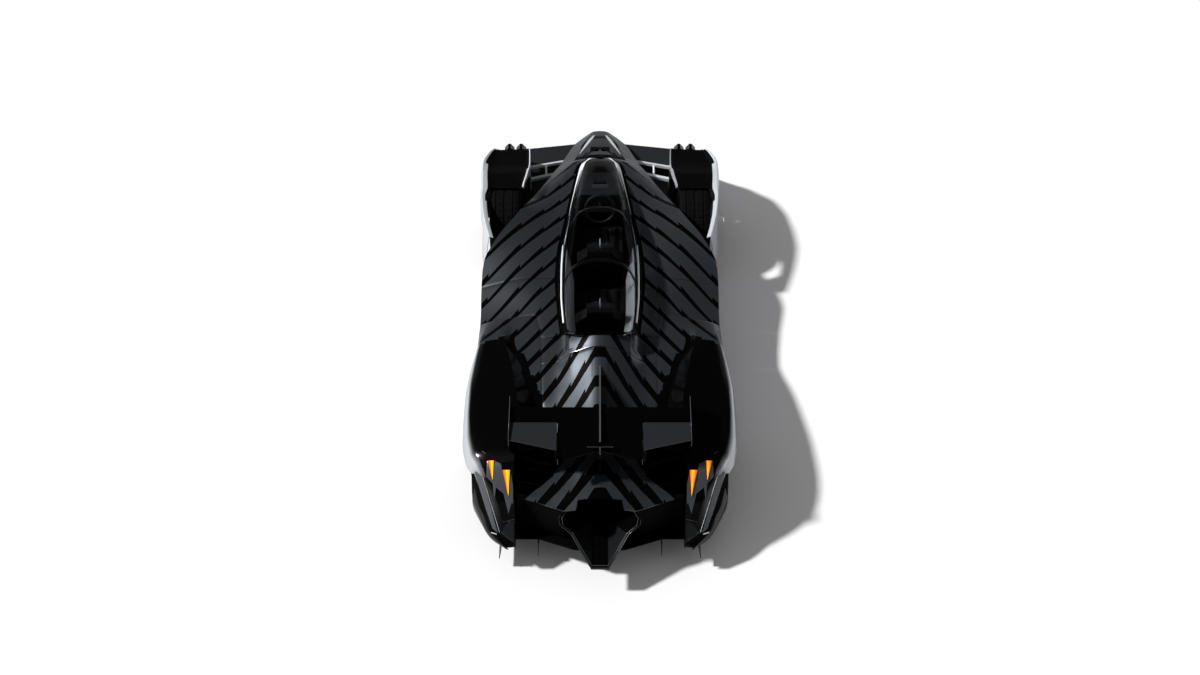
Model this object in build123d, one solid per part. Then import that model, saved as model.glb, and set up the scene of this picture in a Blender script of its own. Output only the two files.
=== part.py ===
from build123d import *
import math
import os

# Closed tandem two-seat hypercar. Millimetres. Nose towards -Y, left side +X, up +Z.
# Origin: middle of the bounding box, on the ground under the tyres.

# ---- driving sizes -------------------------------------------------------
FRONT_AXLE_Y = -1180.0
REAR_AXLE_Y = 1480.0
FRONT_TRACK_HALF = 790.0
REAR_TRACK_HALF = 790.0
FRONT_TYRE_R = 340.0
REAR_TYRE_R = 355.0
FRONT_TYRE_W = 250.0
REAR_TYRE_W = 300.0
FRONT_RIM_R = 238.0
REAR_RIM_R = 252.0
KINGPIN_INSET = 70.0
PANEL = 7.0
POD_WALL = 7.0
TUB_WALL = 25.0
CANOPY_GAP = 6.0
CANOPY_GLASS_T = 6.0
CANOPY_FRAME_W = 26.0
FLOOR_Z = 75.0
FLOOR_T = 16.0
SEAM = 0.3
SILL_Z = FLOOR_Z + FLOOR_T + SEAM
SEAT_Z = SILL_Z + TUB_WALL + SEAM + 50.0
WELL_WALL_Y = -770.0
WELL_WALL_T = 8.0
WELL_X = 488.0
LIP_W = 57.0
LIP_DROP = 10.0
LIP_SLOPE = 0.45
NOSE_Y = -2365.0
CANOPY_FRONT_Y = -1800.0
INTAKE_Y = -1985.0
INTAKE_L = 55.0
INTAKE_X0 = 12.0
INTAKE_W = 44.0
CANOPY_REAR_Y = 640.0
CANOPY_END_Y = 675.0
CANOPY_END_Z = 930.0
CANOPY_RAKE = 0.913
CANOPY_SILL_Y = 470.0
MID_SEAM_Y = -200.0
COVER_FRONT_Y = 760.0
CLAM_Y = 200.0
DECK_Y = 1560.0
DECK_END_Y = 2110.0
FENDER_END_Y = 2173.0
ARCH_GAP = 22.0
POD_OPEN_Y = -1190.0
POD_ARCH_TOP = 560.0
HINGE_Y = CANOPY_FRONT_Y + 3.0
HINGE_Z = 500.0
HINGE_R = 10.0
HINGE_PIN_R = 5.0
HINGE_X0 = 20.0
HINGE_X1 = 34.0
REAR_ARCH_TOP = 590.0
RAMP_Y = 1700.0
RAMP_SLOPE = 0.4245
RAMP_T = 10.0
STRAKE_T = 6.0
WING_F_Z = 250.0
WING_F_T = 14.0
WING_Z = 925.0
WING_T = 16.0
WING_HALF = 655.0
WING_MID_HALF = 306.0
WING_FRONT_Y = 1392.0
WING_TAIL_Y = 1545.0
WING_MID_TAIL_Y = 1907.0
WING_NOTCH_Y = 1804.0
POST_T = 6.0
FLAP_Y = 1552.0
FLAP_RISE = 24.0
ENDPLATE_T = 6.0
ENDPLATE_Z = 720
FIN_Y = 919.0
FIN_END_Y = 1826.0
FIN_TOP_Z = 1000.0
FIN_T = 12.0
FIN_BAR_HALF = 95.0
HUB_BORE = 22.0
BEARING_GAP = 0.05
HUB_X0 = -30.0
DISC_X = -14.0
DISC_T = 28.0
DISC_R = 172.0
RIM_WALL = 8.0
SPOKES = 10
UPRIGHT_T = 36.0
ENGINE_Y = 680.0
ENGINE_END_Y = 1180.0
ENGINE_HALF = 210.0
ENGINE_TOP = 520.0
GEARBOX_HALF = 150.0
GEARBOX_Z = 130.0
GEARBOX_TOP = 515.0
DUCT_Y = 1700.0
DUCT_FULL_Y = 1921.0
DUCT_WALL = 12.0
DIFFUSER_END_Y = 2230.0
DIFFUSER_HALF = 770.0
TUNNEL_Y = 1213.0
FENDER_TRACK_HALF = 790.0
SEAT_FRONT = (-760, -400, 800, 190)
SEAT_REAR = (-30, 300, 840, 200)
STEER_RING_R = 120.0
STEER_TUBE_R = 13.0
STEER_Y = -1090.0
STEER_Z = 560.0
STEER_TILT = -68.0
COLUMN_L = 109.4
KNUCKLE_H = 120.0
KINGPIN_R = 17.0
ARM_R = 11.0
BALL_R = 16.0
ARM_Z = KNUCKLE_H + BALL_R + SEAM
ARM_SPREAD = 150.0
LENS_Y0 = 1700.0
LENS_Y1 = 2050.0
SPIKE_T = 14.0
SPIKES = (((815, 1730), (771, 1736), (779, 1849)), ((707, 1802), (652, 1810), (664, 1944)))
SCOOP = ((889, 1742), (844, 1772), (815, 1726), (831, 1675), (861, 1650), (893, 1681))
HEADLAMP_X = (-112.0, -12.0)
HEADLAMP_Y = -1885.0
HEADLAMP_L = 55.0
HEADLAMP_W = 84.0
HEADLAMP_H = 42.0
HEADLAMP_Z = 535.0
LENS_T = 8.0

# Stations along the car where every body rail is sampled, so panels share their edges.
GRID = [-2365, -2260, -2160, -2080, -1990, -1930, -1860, -1800, -1788, -1765, -1720, -1690,
        -1560, -1488, -1360, -1230, -1190, -1100, -1020, -943, -840, -790, -770, -690,
        -660, -568, -467, -340, -200, -50, 121, 200, 320, 470, 560, 640, 760, 880, 999,
        1133, 1290, 1450, 1560, 1640, 1750, 1857, 1960, 2075, 2110, 2173]


def curve(rows, column, y):
    """Smooth monotone curve through one column of a table whose first column is y."""
    ys = [r[0] for r in rows]
    vs = [r[column] for r in rows]
    if y <= ys[0]:
        return vs[0]
    if y >= ys[-1]:
        return vs[-1]
    k = max(i for i in range(len(ys) - 1) if ys[i] <= y)
    steps = [ys[i + 1] - ys[i] for i in range(len(ys) - 1)]
    slopes = [(vs[i + 1] - vs[i]) / steps[i] for i in range(len(steps))]

    def tangent(i):
        if i == 0:
            return slopes[0]
        if i == len(slopes):
            return slopes[-1]
        a, b = slopes[i - 1], slopes[i]
        if a * b <= 0:
            return 0.0
        return 2 * a * b / (a + b)

    h = steps[k]
    t = (y - ys[k]) / h
    m0, m1 = tangent(k) * h, tangent(k + 1) * h
    a = 2 * t**3 - 3 * t**2 + 1
    b = t**3 - 2 * t**2 + t
    c = -2 * t**3 + 3 * t**2
    d = t**3 - t**2
    return a * vs[k] + b * m0 + c * vs[k + 1] + d * m1


def rail(rows, column, y):
    """The same curve as straight runs between the GRID stations."""
    below = max([g for g in GRID if g <= y], default=GRID[0])
    above = min([g for g in GRID if g >= y], default=GRID[-1])
    lo = curve(rows, column, below)
    if above == below:
        return lo
    hi = curve(rows, column, above)
    return lo + (hi - lo) * (y - below) / (above - below)


def stations(y0, y1):
    """End stations and every GRID station between them."""
    return [y0] + [g for g in GRID if y0 + 1 < g < y1 - 1] + [y1]


def point(rows, column, y):
    """(x, z) of a rail kept in two neighbouring columns."""
    return (rail(rows, column, y), rail(rows, column + 1, y))


def inset(points, depth):
    """Open polyline moved to its right by depth, mitred at its corners."""
    out = []
    n = len(points)
    for i in range(n):
        dirs = []
        if i > 0:
            dirs.append((points[i][0] - points[i - 1][0], points[i][1] - points[i - 1][1]))
        if i < n - 1:
            dirs.append((points[i + 1][0] - points[i][0], points[i + 1][1] - points[i][1]))
        normals = []
        for dx, dz in dirs:
            length = math.hypot(dx, dz)
            normals.append((dz / length, -dx / length))
        nx = sum(v[0] for v in normals)
        nz = sum(v[1] for v in normals)
        size = math.hypot(nx, nz)
        nx, nz = nx / size, nz / size
        cosine = max(0.45, nx * normals[0][0] + nz * normals[0][1])
        out.append((points[i][0] + nx * depth / cosine, points[i][1] + nz * depth / cosine))
    return out


def inset_closed(points, depth):
    """Closed polyline moved inwards by depth; the points run clockwise."""
    ring = [points[-1]] + points + [points[0]]
    return inset(ring, depth)[1:-1]


def arc_points(a, b, bulge, count):
    """Points strictly between a and b on a parabola that bows to the left by bulge."""
    dx, dz = b[0] - a[0], b[1] - a[1]
    length = math.hypot(dx, dz)
    nx, nz = -dz / length, dx / length
    out = []
    for i in range(1, count + 1):
        t = i / (count + 1)
        lift = 4 * bulge * t * (1 - t)
        out.append((a[0] + dx * t + nx * lift, a[1] + dz * t + nz * lift))
    return out


def loft_polygons(sections):
    """Ruled solid through closed polygons [(y, [(x, z), ...]), ...]."""
    wires = []
    for y, points in sections:
        wires.append(Wire.make_polygon([Vector(x, y, z) for x, z in points], close=True))
    solid = Solid.make_loft(wires, ruled=True)
    if solid.volume < 0:
        solid = Solid(solid.wrapped.Reversed())
    return solid


def toward(a, b, step):
    """Point a moved toward b by step."""
    length = math.hypot(b[0] - a[0], b[1] - a[1])
    return (a[0] + (b[0] - a[0]) * step / length, a[1] + (b[1] - a[1]) * step / length)


def skin(section, ys, depth, first=0, last=None, trims=(SEAM, SEAM)):
    """Panel of even thickness through the polylines section(y), from point first to last.

    Its two long edges draw back by the trims, which leaves the shut lines open.
    """
    parts = []
    for y in ys:
        whole = section(y)
        stop = len(whole) if last is None else last + 1
        outer = whole[first:stop]
        inner = inset(whole, depth)[first:stop]
        for line in (outer, inner):
            line[0] = toward(line[0], line[1], trims[0])
            line[-1] = toward(line[-1], line[-2], trims[1])
        parts.append((y, outer + inner[::-1]))
    return loft_polygons(parts)


def box(x0, x1, y0, y1, z0, z1):
    return Pos((x0 + x1) / 2, (y0 + y1) / 2, (z0 + z1) / 2) * Box(
        abs(x1 - x0), abs(y1 - y0), abs(z1 - z0)
    )


def prism_x(points, x0, x1):
    """Solid with outline [(y, z), ...] between two x planes."""
    face = Face(Wire.make_polygon([Vector(x0, y, z) for y, z in points], close=True))
    return Solid.extrude(face, Vector(x1 - x0, 0, 0))


def prism_y(points, y0, y1):
    """Solid with outline [(x, z), ...] between two y planes."""
    face = Face(Wire.make_polygon([Vector(x, y0, z) for x, z in points], close=True))
    return Solid.extrude(face, Vector(0, y1 - y0, 0))


def prism_z(points, z0, z1):
    """Solid with outline [(x, y), ...] between two heights."""
    face = Face(Wire.make_polygon([Vector(x, y, z0) for x, y in points], close=True))
    return Solid.extrude(face, Vector(0, 0, z1 - z0))


def rod(a, b, r):
    """Round bar between two points."""
    start, end = Vector(*a), Vector(*b)
    plane = Plane(origin=start, z_dir=end - start)
    return plane * Cylinder(r, (end - start).length, align=(Align.CENTER, Align.CENTER, Align.MIN))


def wheel_cylinder(y, z, r, x0, x1):
    return Pos((x0 + x1) / 2, y, z) * Rot(0, 90, 0) * Cylinder(r, abs(x1 - x0))


def mirrored(shape):
    return mirror(shape, about=Plane.YZ)


# ---- body rails ----------------------------------------------------------
# Upper body, half section. Columns: y, crown z, canopy base x z, mid x z, edge x z.
BODY = [
    (-2365, 300, 20, 299, 45, 297, 71, 288),
    (-2160, 375, 60, 373, 140, 360, 220, 325),
    (-1920, 455, 90, 450, 190, 428, 304, 378),
    (-1800, 492, 100, 486, 225, 456, 344, 405),
    (-1690, 492, 165, 500, 268, 482, 390, 434),
    (-1488, 520, 196, 536, 325, 524, 466, 482),
    (-1230, 540, 228, 568, 378, 566, 560, 566),
    (-1100, 550, 243, 582, 405, 590, 604, 622),
    (-943, 560, 258, 596, 450, 620, 669, 674),
    (-840, 568, 269, 604, 480, 632, 724, 677),
    (-690, 580, 284, 614, 540, 646, 818, 665),
    (-568, 590, 297, 622, 580, 648, 882, 638),
    (-467, 600, 303, 628, 600, 645, 932, 600),
    (-340, 606, 306, 636, 615, 641, 949, 562),
    (-200, 610, 309, 642, 625, 636, 951, 536),
    (121, 630, 306, 660, 520, 640, 945, 512),
    (470, 662, 281, 702, 456, 669, 953, 520),
    (760, 690, 262, 742, 443, 690, 960, 520),
]
# Canopy bubble. Columns: y, crown z, crown shoulder x z.
CANOPY = [
    (-1800, 494, 40, 493),
    (-1690, 556, 90, 545),
    (-1488, 640, 118, 626),
    (-1230, 734, 146, 716),
    (-943, 826, 172, 806),
    (-568, 922, 200, 900),
    (-210, 974, 216, 950),
    (121, 988, 216, 964),
    (450, 964, 204, 942),
    (640, 936, 192, 918),
    (700, 926, 188, 908),
]
# Spine and engine cover. Columns: y, crown z, spine edge x z, valley x z, foot x z.
COVER = [
    (470, 961, 251, 844, 281, 702, 456, 669),
    (640, 936, 238, 836, 276, 722, 447, 682),
    (760, 900, 228, 812, 320, 722, 443, 690),
    (999, 838, 190, 760, 325, 694, 440, 672),
    (1290, 762, 160, 712, 300, 652, 412, 610),
    (1560, 708, 140, 680, 240, 628, 345, 560),
    (1750, 682, 140, 664, 230, 622, 340, 575),
    (1960, 660, 160, 642, 330, 606, 560, 580),
    (2110, 640, 176, 620, 380, 590, 640, 560),
]
# Rear fender. Columns: y, foot x z, crest x z, outer top x z, upper flank x z, side x z,
# low flank x z, sill x z.
FENDER = [
    (200, 640, 622, 760, 596, 880, 560, 925, 536, 947, 508, 930, 300, 905, 92),
    (450, 705, 628, 738, 662, 922, 622, 948, 580, 958, 520, 942, 300, 905, 92),
    (761, 598, 668, 684, 742, 952, 664, 988, 618, 1000, 545, 975, 300, 915, 92),
    (999, 530, 664, 645, 782, 968, 692, 1006, 640, 1021, 556, 992, 300, 925, 92),
    (1213, 505, 600, 617, 800, 966, 714, 1006, 660, 1025, 560, 1000, 300, 930, 92),
    (1450, 596, 440, 616, 806, 944, 730, 998, 672, 1024, 548, 1000, 300, 935, 92),
    (1640, 606, 330, 620, 786, 902, 722, 964, 664, 1006, 510, 992, 300, 940, 120),
    (1750, 610, 250, 624, 742, 858, 684, 925, 610, 978, 470, 970, 290, 925, 140),
    (1857, 612, 240, 627, 672, 806, 610, 880, 520, 934, 425, 926, 285, 880, 160),
    (1960, 612, 255, 622, 560, 752, 505, 820, 440, 882, 372, 876, 280, 840, 190),
    (2075, 612, 268, 618, 410, 705, 378, 765, 350, 816, 322, 812, 268, 780, 215),
    (2173, 614, 262, 618, 275, 640, 270, 668, 266, 690, 262, 688, 250, 670, 240),
]
# Front pod: x is measured from the tyre's middle plane. Columns: y, inner foot x z, inner rim
# x z, dish inner x z, dish outer x z, outer rim x z, flank x z, foot x z.
POD = [
    (-2080, -90, 92, -85, 150, -70, 151, 50, 151, 66, 148, 76, 130, 73, 92),
    (-1990, -150, 92, -145, 330, -125, 330, 60, 325, 78, 316, 105, 220, 96, 92),
    (-1930, -175, 92, -170, 450, -145, 446, 62, 436, 88, 440, 130, 260, 118, 92),
    (-1860, -187, 92, -180, 550, -150, 540, 70, 528, 95, 532, 150, 290, 140, 92),
    (-1800, -192, 92, -188, 602, -156, 580, 90, 570, 125, 594, 180, 310, 162, 92),
    (-1720, -196, 300, -194, 618, -162, 594, 112, 586, 165, 616, 200, 325, 182, 92),
    (-1560, -200, 575, -198, 652, -165, 628, 140, 622, 206, 648, 220, 330, 202, 92),
    (-1360, -184, 664, -180, 702, -150, 690, 135, 690, 202, 694, 223, 330, 207, 92),
    (-1190, -160, 700, -156, 726, -130, 704, 125, 704, 195, 712, 222, 330, 206, 92),
    (-1100, -160, 700, -156, 726, -130, 704, 150, 698, 191, 706, 220, 330, 204, 92),
    (-943, -160, 700, -156, 726, -130, 704, 138, 680, 176, 688, 210, 330, 195, 92),
    (-790, -160, 700, -156, 726, -130, 704, 112, 664, 148, 671, 188, 330, 172, 92),
    (-660, -160, 700, -156, 726, -130, 704, 80, 651, 115, 658, 155, 325, 142, 92),
]


def shoulder_rails(y):
    """Canopy base, mid shoulder and shoulder edge at y."""
    base = point(BODY, 2, y)
    mid = point(BODY, 4, y)
    edge = point(BODY, 6, y)
    return base, mid, edge


def front_side_section(y):
    """Canopy base out to the shoulder edge and down the narrow front body."""
    base, mid, edge = shoulder_rails(y)
    low_x = min(edge[0] - 24, WELL_X)
    under_x = min(edge[0] - LIP_DROP, WELL_X + LIP_W)
    under_z = edge[1] - LIP_DROP - LIP_SLOPE * (edge[0] - under_x - LIP_DROP)
    return [base, mid, edge, (under_x, under_z), (low_x + 6, min(330.0, under_z - 40)),
            (low_x - 20, SILL_Z)]


def rear_side_section(y):
    """Canopy base out to the shoulder edge and down the full-width flank."""
    base, mid, edge = shoulder_rails(y)
    return [base, mid, edge, (edge[0] + 4, edge[1] - 70), (928.0, 300.0), (905.0, SILL_Z)]


# ---- sections ------------------------------------------------------------
def base_point(y):
    return point(BODY, 2, y) if y <= CANOPY_SILL_Y else point(COVER, 4, y)


def mid_point(y):
    return point(BODY, 4, y) if y <= CANOPY_SILL_Y else point(COVER, 6, y)


def fender_line(y):
    """Foot, crest, outer top, upper flank, side, low flank and sill of the rear fender.

    The outer points follow the rear track, more and more from the door to the wheel.
    """
    share = min(1.0, max(0.0, (y - CLAM_Y) / (TUNNEL_Y - CLAM_Y)))
    widen = (REAR_TRACK_HALF - FENDER_TRACK_HALF) * share
    line = [point(FENDER, k, y) for k in (1, 3, 5, 7, 9, 11, 13)]
    return line[:2] + [(x + widen, z) for x, z in line[2:]]


def surround_section(y):
    after = point(BODY, 6, y) if y <= CLAM_Y else point(FENDER, 1, y)
    return [base_point(y), mid_point(y), after]


def bridge_section(y):
    half = [(0.0, rail(COVER, 1, y)), point(COVER, 2, y), point(COVER, 4, y), mid_point(y)]
    half = half + [point(FENDER, 1, y)]
    left_to_right = [(-x, z) for x, z in half[:0:-1]] + half
    return left_to_right


def fender_front_section(y):
    return [base_point(y), mid_point(y)] + fender_line(y)


def canopy_section(y, pull):
    """Canopy outline from the right base over the crown to the left base."""
    base = base_point(y)
    crown = curve(CANOPY, 1, y)
    shoulder = (curve(CANOPY, 2, y), curve(CANOPY, 3, y))
    base = (max(6.0, base[0] - pull), base[1])
    shoulder = (min(shoulder[0], base[0] * 0.8), max(shoulder[1], base[1] + 0.5))
    side = arc_points(shoulder, base, (shoulder[1] - base[1]) * 0.13, 2)
    top = arc_points((0.0, crown), shoulder, 3.0 + shoulder[0] * 0.03, 1)
    half = top + [shoulder] + side + [base]
    return [(-x, z) for x, z in half[::-1]] + [(0.0, crown)] + half


def pod_line(y):
    """Inner foot, inner rim, dish, outer rim, flank and foot of the front pod."""
    line = [point(POD, k, y) for k in (1, 3, 5, 7, 9, 11, 13)]
    return [(FRONT_TRACK_HALF + x, z) for x, z in line]


# ---- body panels ---------------------------------------------------------
def nose_outline(y, wall):
    """Closed section of the nose, moved inwards by wall."""
    crown = rail(BODY, 1, y)
    points = [point(BODY, k, y) for k in (2, 4, 6)]
    keel_z = 200.0 + (SILL_Z - 200.0) * (y - NOSE_Y) / (CANOPY_FRONT_Y - NOSE_Y)
    low = (max(30.0, points[2][0] - 30), keel_z)
    half = [(0.0, crown)] + points + [low]
    if wall:
        half = inset(half, wall)
        half[0] = (0.0, crown - wall)
        half[-1] = (half[-1][0], keel_z + wall)
    return half + [(-x, z) for x, z in half[:0:-1]]


def hinge_ring(x0, x1, r_out, r_in):
    return Pos(0, HINGE_Y, HINGE_Z) * ring_x(x0, x1, r_out, r_in)


def nose_shell():
    end = CANOPY_FRONT_Y - SEAM
    ys = stations(NOSE_Y, end)
    solid = loft_polygons([(y, nose_outline(y, 0)) for y in ys])
    inner_ys = [NOSE_Y + 60.0] + [y for y in ys if y > NOSE_Y + 61] + [end + 1]
    hollow = loft_polygons([(y, nose_outline(min(y, end), PANEL)) for y in inner_ys])
    shell = solid - hollow - hinge_ring(-HINGE_X1 - 1, HINGE_X1 + 1, HINGE_R + 6, 0)
    for side in (-1, 1):
        near, far = side * INTAKE_X0, side * (INTAKE_X0 + INTAKE_W)
        shell = shell - box(near, far, INTAKE_Y, INTAKE_Y + INTAKE_L, 380, 520)
    for side in (-1, 1):
        ring = hinge_ring(HINGE_X0, HINGE_X1, HINGE_R, 0)
        foot = box(HINGE_X0, HINGE_X1, HINGE_Y - 22, HINGE_Y, HINGE_Z - 22, HINGE_Z - 4)
        lug = ring + foot
        shell = shell + (lug if side > 0 else mirrored(lug))
    return shell + hinge_ring(-HINGE_X0, HINGE_X0, HINGE_PIN_R, 0)


def behind_canopy(shift):
    """Space behind the canopy's raked rear edge, moved back by shift."""
    y = CANOPY_END_Y + shift
    low, high = CANOPY_END_Z - 400, CANOPY_END_Z + 200
    line = [(y - 400 * CANOPY_RAKE, low), (y + 200 * CANOPY_RAKE, high)]
    return prism_x(line + [(COVER_FRONT_Y + 400, high), (COVER_FRONT_Y + 400, low)], -1000, 1000)


def mid_body():
    """Door-height body beside the rear seat, with the bridge behind the canopy."""
    side = skin(rear_side_section, stations(MID_SEAM_Y + SEAM, CLAM_Y - SEAM), PANEL, 0, 5)
    strip = skin(surround_section, stations(CLAM_Y - SEAM, CANOPY_SILL_Y), PANEL, 0, 1)
    half = side + strip
    bridge = skin(bridge_section, stations(CANOPY_SILL_Y, COVER_FRONT_Y - SEAM), PANEL, 1, 7)
    bridge = bridge & behind_canopy(0)
    return half + mirrored(half) + bridge


def front_body_left():
    front = skin(front_side_section, stations(CANOPY_FRONT_Y + SEAM, WELL_WALL_Y), PANEL, 0, 5)
    rear = skin(rear_side_section, stations(WELL_WALL_Y, MID_SEAM_Y - SEAM), PANEL, 0, 5)
    low = front_side_section(WELL_WALL_Y)[3:6]
    flank = rear_side_section(WELL_WALL_Y)[2:6]
    outline = inset_closed(flank + low[::-1], PANEL / 2)
    wall = prism_y(outline, WELL_WALL_Y, WELL_WALL_Y + WELL_WALL_T)
    panel = front + rear + wall
    for side in (-1, 1):
        z = FRONT_TYRE_R + side * ARM_Z
        panel = panel - box(380, 640, FRONT_AXLE_Y - 115, FRONT_AXLE_Y + 115, z - 28, z + 28)
    return panel


def rear_fender_left():
    front = skin(fender_front_section, stations(CLAM_Y + SEAM, TUNNEL_Y), PANEL, 1, 8)
    rear = skin(fender_line, stations(TUNNEL_Y, FENDER_END_Y), PANEL, 0, 6)
    arch = wheel_cylinder(REAR_AXLE_Y, REAR_TYRE_R, REAR_TYRE_R + ARCH_GAP, 700, 1100)
    arch = arch & box(700, 1100, 1000, 2000, 0, REAR_ARCH_TOP)
    arms = box(560, 680, REAR_AXLE_Y - 75, REAR_AXLE_Y + 75, 300, REAR_TYRE_R + ARM_Z + 30)
    return front + rear - arch - arms - prism_z(SCOOP, 560, 900)


def engine_cover():
    return skin(bridge_section, stations(COVER_FRONT_Y + SEAM, DECK_Y - SEAM), PANEL, 1, 7)


def deck_cut():
    """Everything behind the deck's V-shaped rear edge."""
    outline = [(-900, 1790), (-558, 1959), (-262, 2099), (262, 2099), (558, 1959), (900, 1790)]
    return prism_z(outline + [(900, 2400), (-900, 2400)], 0, 900)


def duct_hexagon(y, wall):
    """Outline of the tail duct: top, shoulder, widest, notch, low side and lip."""
    share = 0.70 + 0.30 * (y - DUCT_Y) / (DUCT_FULL_Y - DUCT_Y)
    share = min(1.0, max(0.0, share))
    middle = 430.0
    half = [(0, 652), (158, 634), (262, 545), (303, 502), (292, 462), (214, 418), (64, 262)]
    half = [(x * share, middle + (z - middle) * share) for x, z in half]
    return inset_closed(half + [(-x, z) for x, z in half[:0:-1]], wall)


def duct_face_cut():
    """Space behind the slanted mouth of the tail duct."""
    return prism_x([(1921, 660), (1905, 700), (2600, 700), (2600, 0), (2365, 205), (2365, 262),
                    (2163, 420)], -400, 400)


def duct_solid(wall):
    ys = [DUCT_Y, DUCT_FULL_Y, 2420]
    return loft_polygons([(y, duct_hexagon(y, wall)) for y in ys])


def tail_duct():
    return duct_solid(0) - duct_solid(DUCT_WALL) - duct_face_cut()


def rear_deck():
    deck = skin(bridge_section, stations(DECK_Y + SEAM, DECK_END_Y), PANEL, 1, 7)
    return deck - deck_cut() - duct_solid(-0.5)


def front_pod_left():
    front = skin(pod_line, stations_pod(NOSE_Y, POD_OPEN_Y), POD_WALL, 0, 6)
    rear = skin(pod_line, stations_pod(POD_OPEN_Y, 0), POD_WALL, 3, 6)
    x0 = FRONT_TRACK_HALF + FRONT_TYRE_W / 2 - 30
    x1 = FRONT_TRACK_HALF + 300
    arch = wheel_cylinder(FRONT_AXLE_Y, FRONT_TYRE_R, FRONT_TYRE_R + ARCH_GAP + 18, x0, x1)
    arch = arch & box(x0, x1, -1700, -600, 0, POD_ARCH_TOP)
    return front + rear - arch


def stations_pod(y0, y1):
    """Rows of the pod table from y0 to y1."""
    return [r[0] for r in POD if y0 <= r[0] <= y1]


# ---- floor and aero ------------------------------------------------------
def floor_pan():
    half = [(300, -2040), (690, -2085), (900, -2085), (985, -1850), (985, -1570), (500, -1570),
            (500, WELL_WALL_Y), (930, WELL_WALL_Y), (930, 1095), (560, 1095), (560, RAMP_Y)]
    outline = half + [(-x, y) for x, y in half[::-1]]
    return prism_z(outline, FLOOR_Z, FLOOR_Z + FLOOR_T)


def ramp_z(y):
    return FLOOR_Z + RAMP_SLOPE * (y - RAMP_Y)


def diffuser():
    """Ramp that rises from the floor to its V-shaped trailing edge, wider behind the wheels."""
    y0, y1 = RAMP_Y + SEAM, DIFFUSER_END_Y
    lower = ramp_z(y0)
    upper = ramp_z(y1)
    side = [(y0, lower), (y0, lower + RAMP_T), (y1, upper + RAMP_T), (y1, upper)]
    ramp = prism_x(side, -DIFFUSER_HALF, DIFFUSER_HALF)
    half = [(560, y0), (560, 1880), (DIFFUSER_HALF, 1880), (DIFFUSER_HALF, 2074), (453, 2074), (181, 2218)]
    plan = prism_z(half + [(-x, y) for x, y in half[::-1]], 0, 900)
    return (ramp & plan) - duct_solid(-SEAM)


def strakes():
    """Four thin fences that hang from the diffuser."""
    out = []
    for x, lean, y0, y1 in ((455, 0, 1800, 2106), (722, 22, 1900, 2150)):
        t = STRAKE_T / 2
        top0, top1 = ramp_z(y0) - SEAM, ramp_z(min(y1, 2074)) - SEAM
        low = 75.0 if lean == 0 else 100.0
        plate = prism_x([(y0, low), (y0, top0), (y1, top1), (y1, low)], x - t, x + t)
        if lean:
            plate = Pos(x, 0, top1) * Rot(0, -8, 0) * Pos(-x, 0, -top1) * plate
            above = [(RAMP_Y, ramp_z(RAMP_Y) - SEAM), (DIFFUSER_END_Y, ramp_z(DIFFUSER_END_Y) - SEAM),
                     (DIFFUSER_END_Y, 900), (RAMP_Y, 900)]
            plate = plate - prism_x(above, 500, 900)
        out += [plate, mirrored(plate)]
    return Compound(children=out)


def rear_fascia():
    """Dark panel that closes the tail between the deck edge and the diffuser."""
    half = [(608, 1930), (560, 1935), (262, 2078), (262, 2066), (556, 1923), (608, 1918)]
    plate = prism_z(half, 262, 900)
    roof = prism_y(duct_hexagon(2000, -1), 1500, 2500)
    rows = [(y, [(-700, 900), (700, 900)] + deck_under(y)) for y in (1900, 1960, 2075, 2109)]
    under = loft_polygons(rows)
    plate = plate - roof - under
    return plate + mirrored(plate)


def deck_under(y):
    """Deck underside, widened to the fenders, from left to right."""
    line = inset(bridge_section(y), PANEL + SEAM)[1:8]
    return [(700, line[-1][1])] + line[::-1] + [(-700, line[0][1])]


def front_wing():
    """Wing between the nose and the pods, with two bars behind it joined by a strut."""
    z = WING_F_Z
    plan = [(150, -2240), (700, -2158), (700, -1925), (330, -2020), (150, -2080)]
    plane = prism_z(plan, z, z + WING_F_T)
    bar_1 = prism_z([(150, -2057), (700, -1918), (700, -1898), (150, -2037)], z - 6, z + 20)
    bar_2 = prism_z([(150, -1973), (700, -1804), (700, -1774), (150, -1943)], z - 46, z - 18)
    strut = rod((470, -1960, z + 5), (470, -1870, z - 30), 9)
    half = plane + bar_1 + bar_2 + strut
    half = half - nose_hull() - side_hull() - pod_hull()
    return Compound(children=[half, mirrored(half)])


def pod_hull():
    """Filled outer form of the left front pod, grown by the seam."""
    return loft_polygons([(y, inset(pod_line(y), -SEAM)) for y in stations_pod(NOSE_Y, 0)])


def fender_hull():
    """Filled outer form of the left rear fender's tunnel, grown by the seam."""
    ys = stations(TUNNEL_Y, FENDER_END_Y)
    return loft_polygons([(y, inset(fender_line(y), -SEAM)) for y in ys])


def nose_hull():
    ys = stations(NOSE_Y, CANOPY_FRONT_Y)
    return loft_polygons([(y, nose_outline(y, -SEAM)) for y in ys])


def side_hull():
    ys = stations(CANOPY_FRONT_Y, WELL_WALL_Y)
    rows = []
    for y in ys:
        line = inset(front_side_section(y), -SEAM)
        rows.append((y, [(0, line[0][1])] + line[1:] + [(0, 0)]))
    return loft_polygons(rows)


# ---- rear wing -----------------------------------------------------------
def aerofoil(y0, y1, z, thick):
    """Closed section: blunt nose, flat floor, thin tail."""
    c = y1 - y0
    shares = ((0, 0), (0.03, 0.5), (0.25, 1), (0.6, 0.8), (1, 0.15), (1, 0), (0.5, -0.25))
    return [(y0 + along * c, z + up * thick) for along, up in shares]


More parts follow.
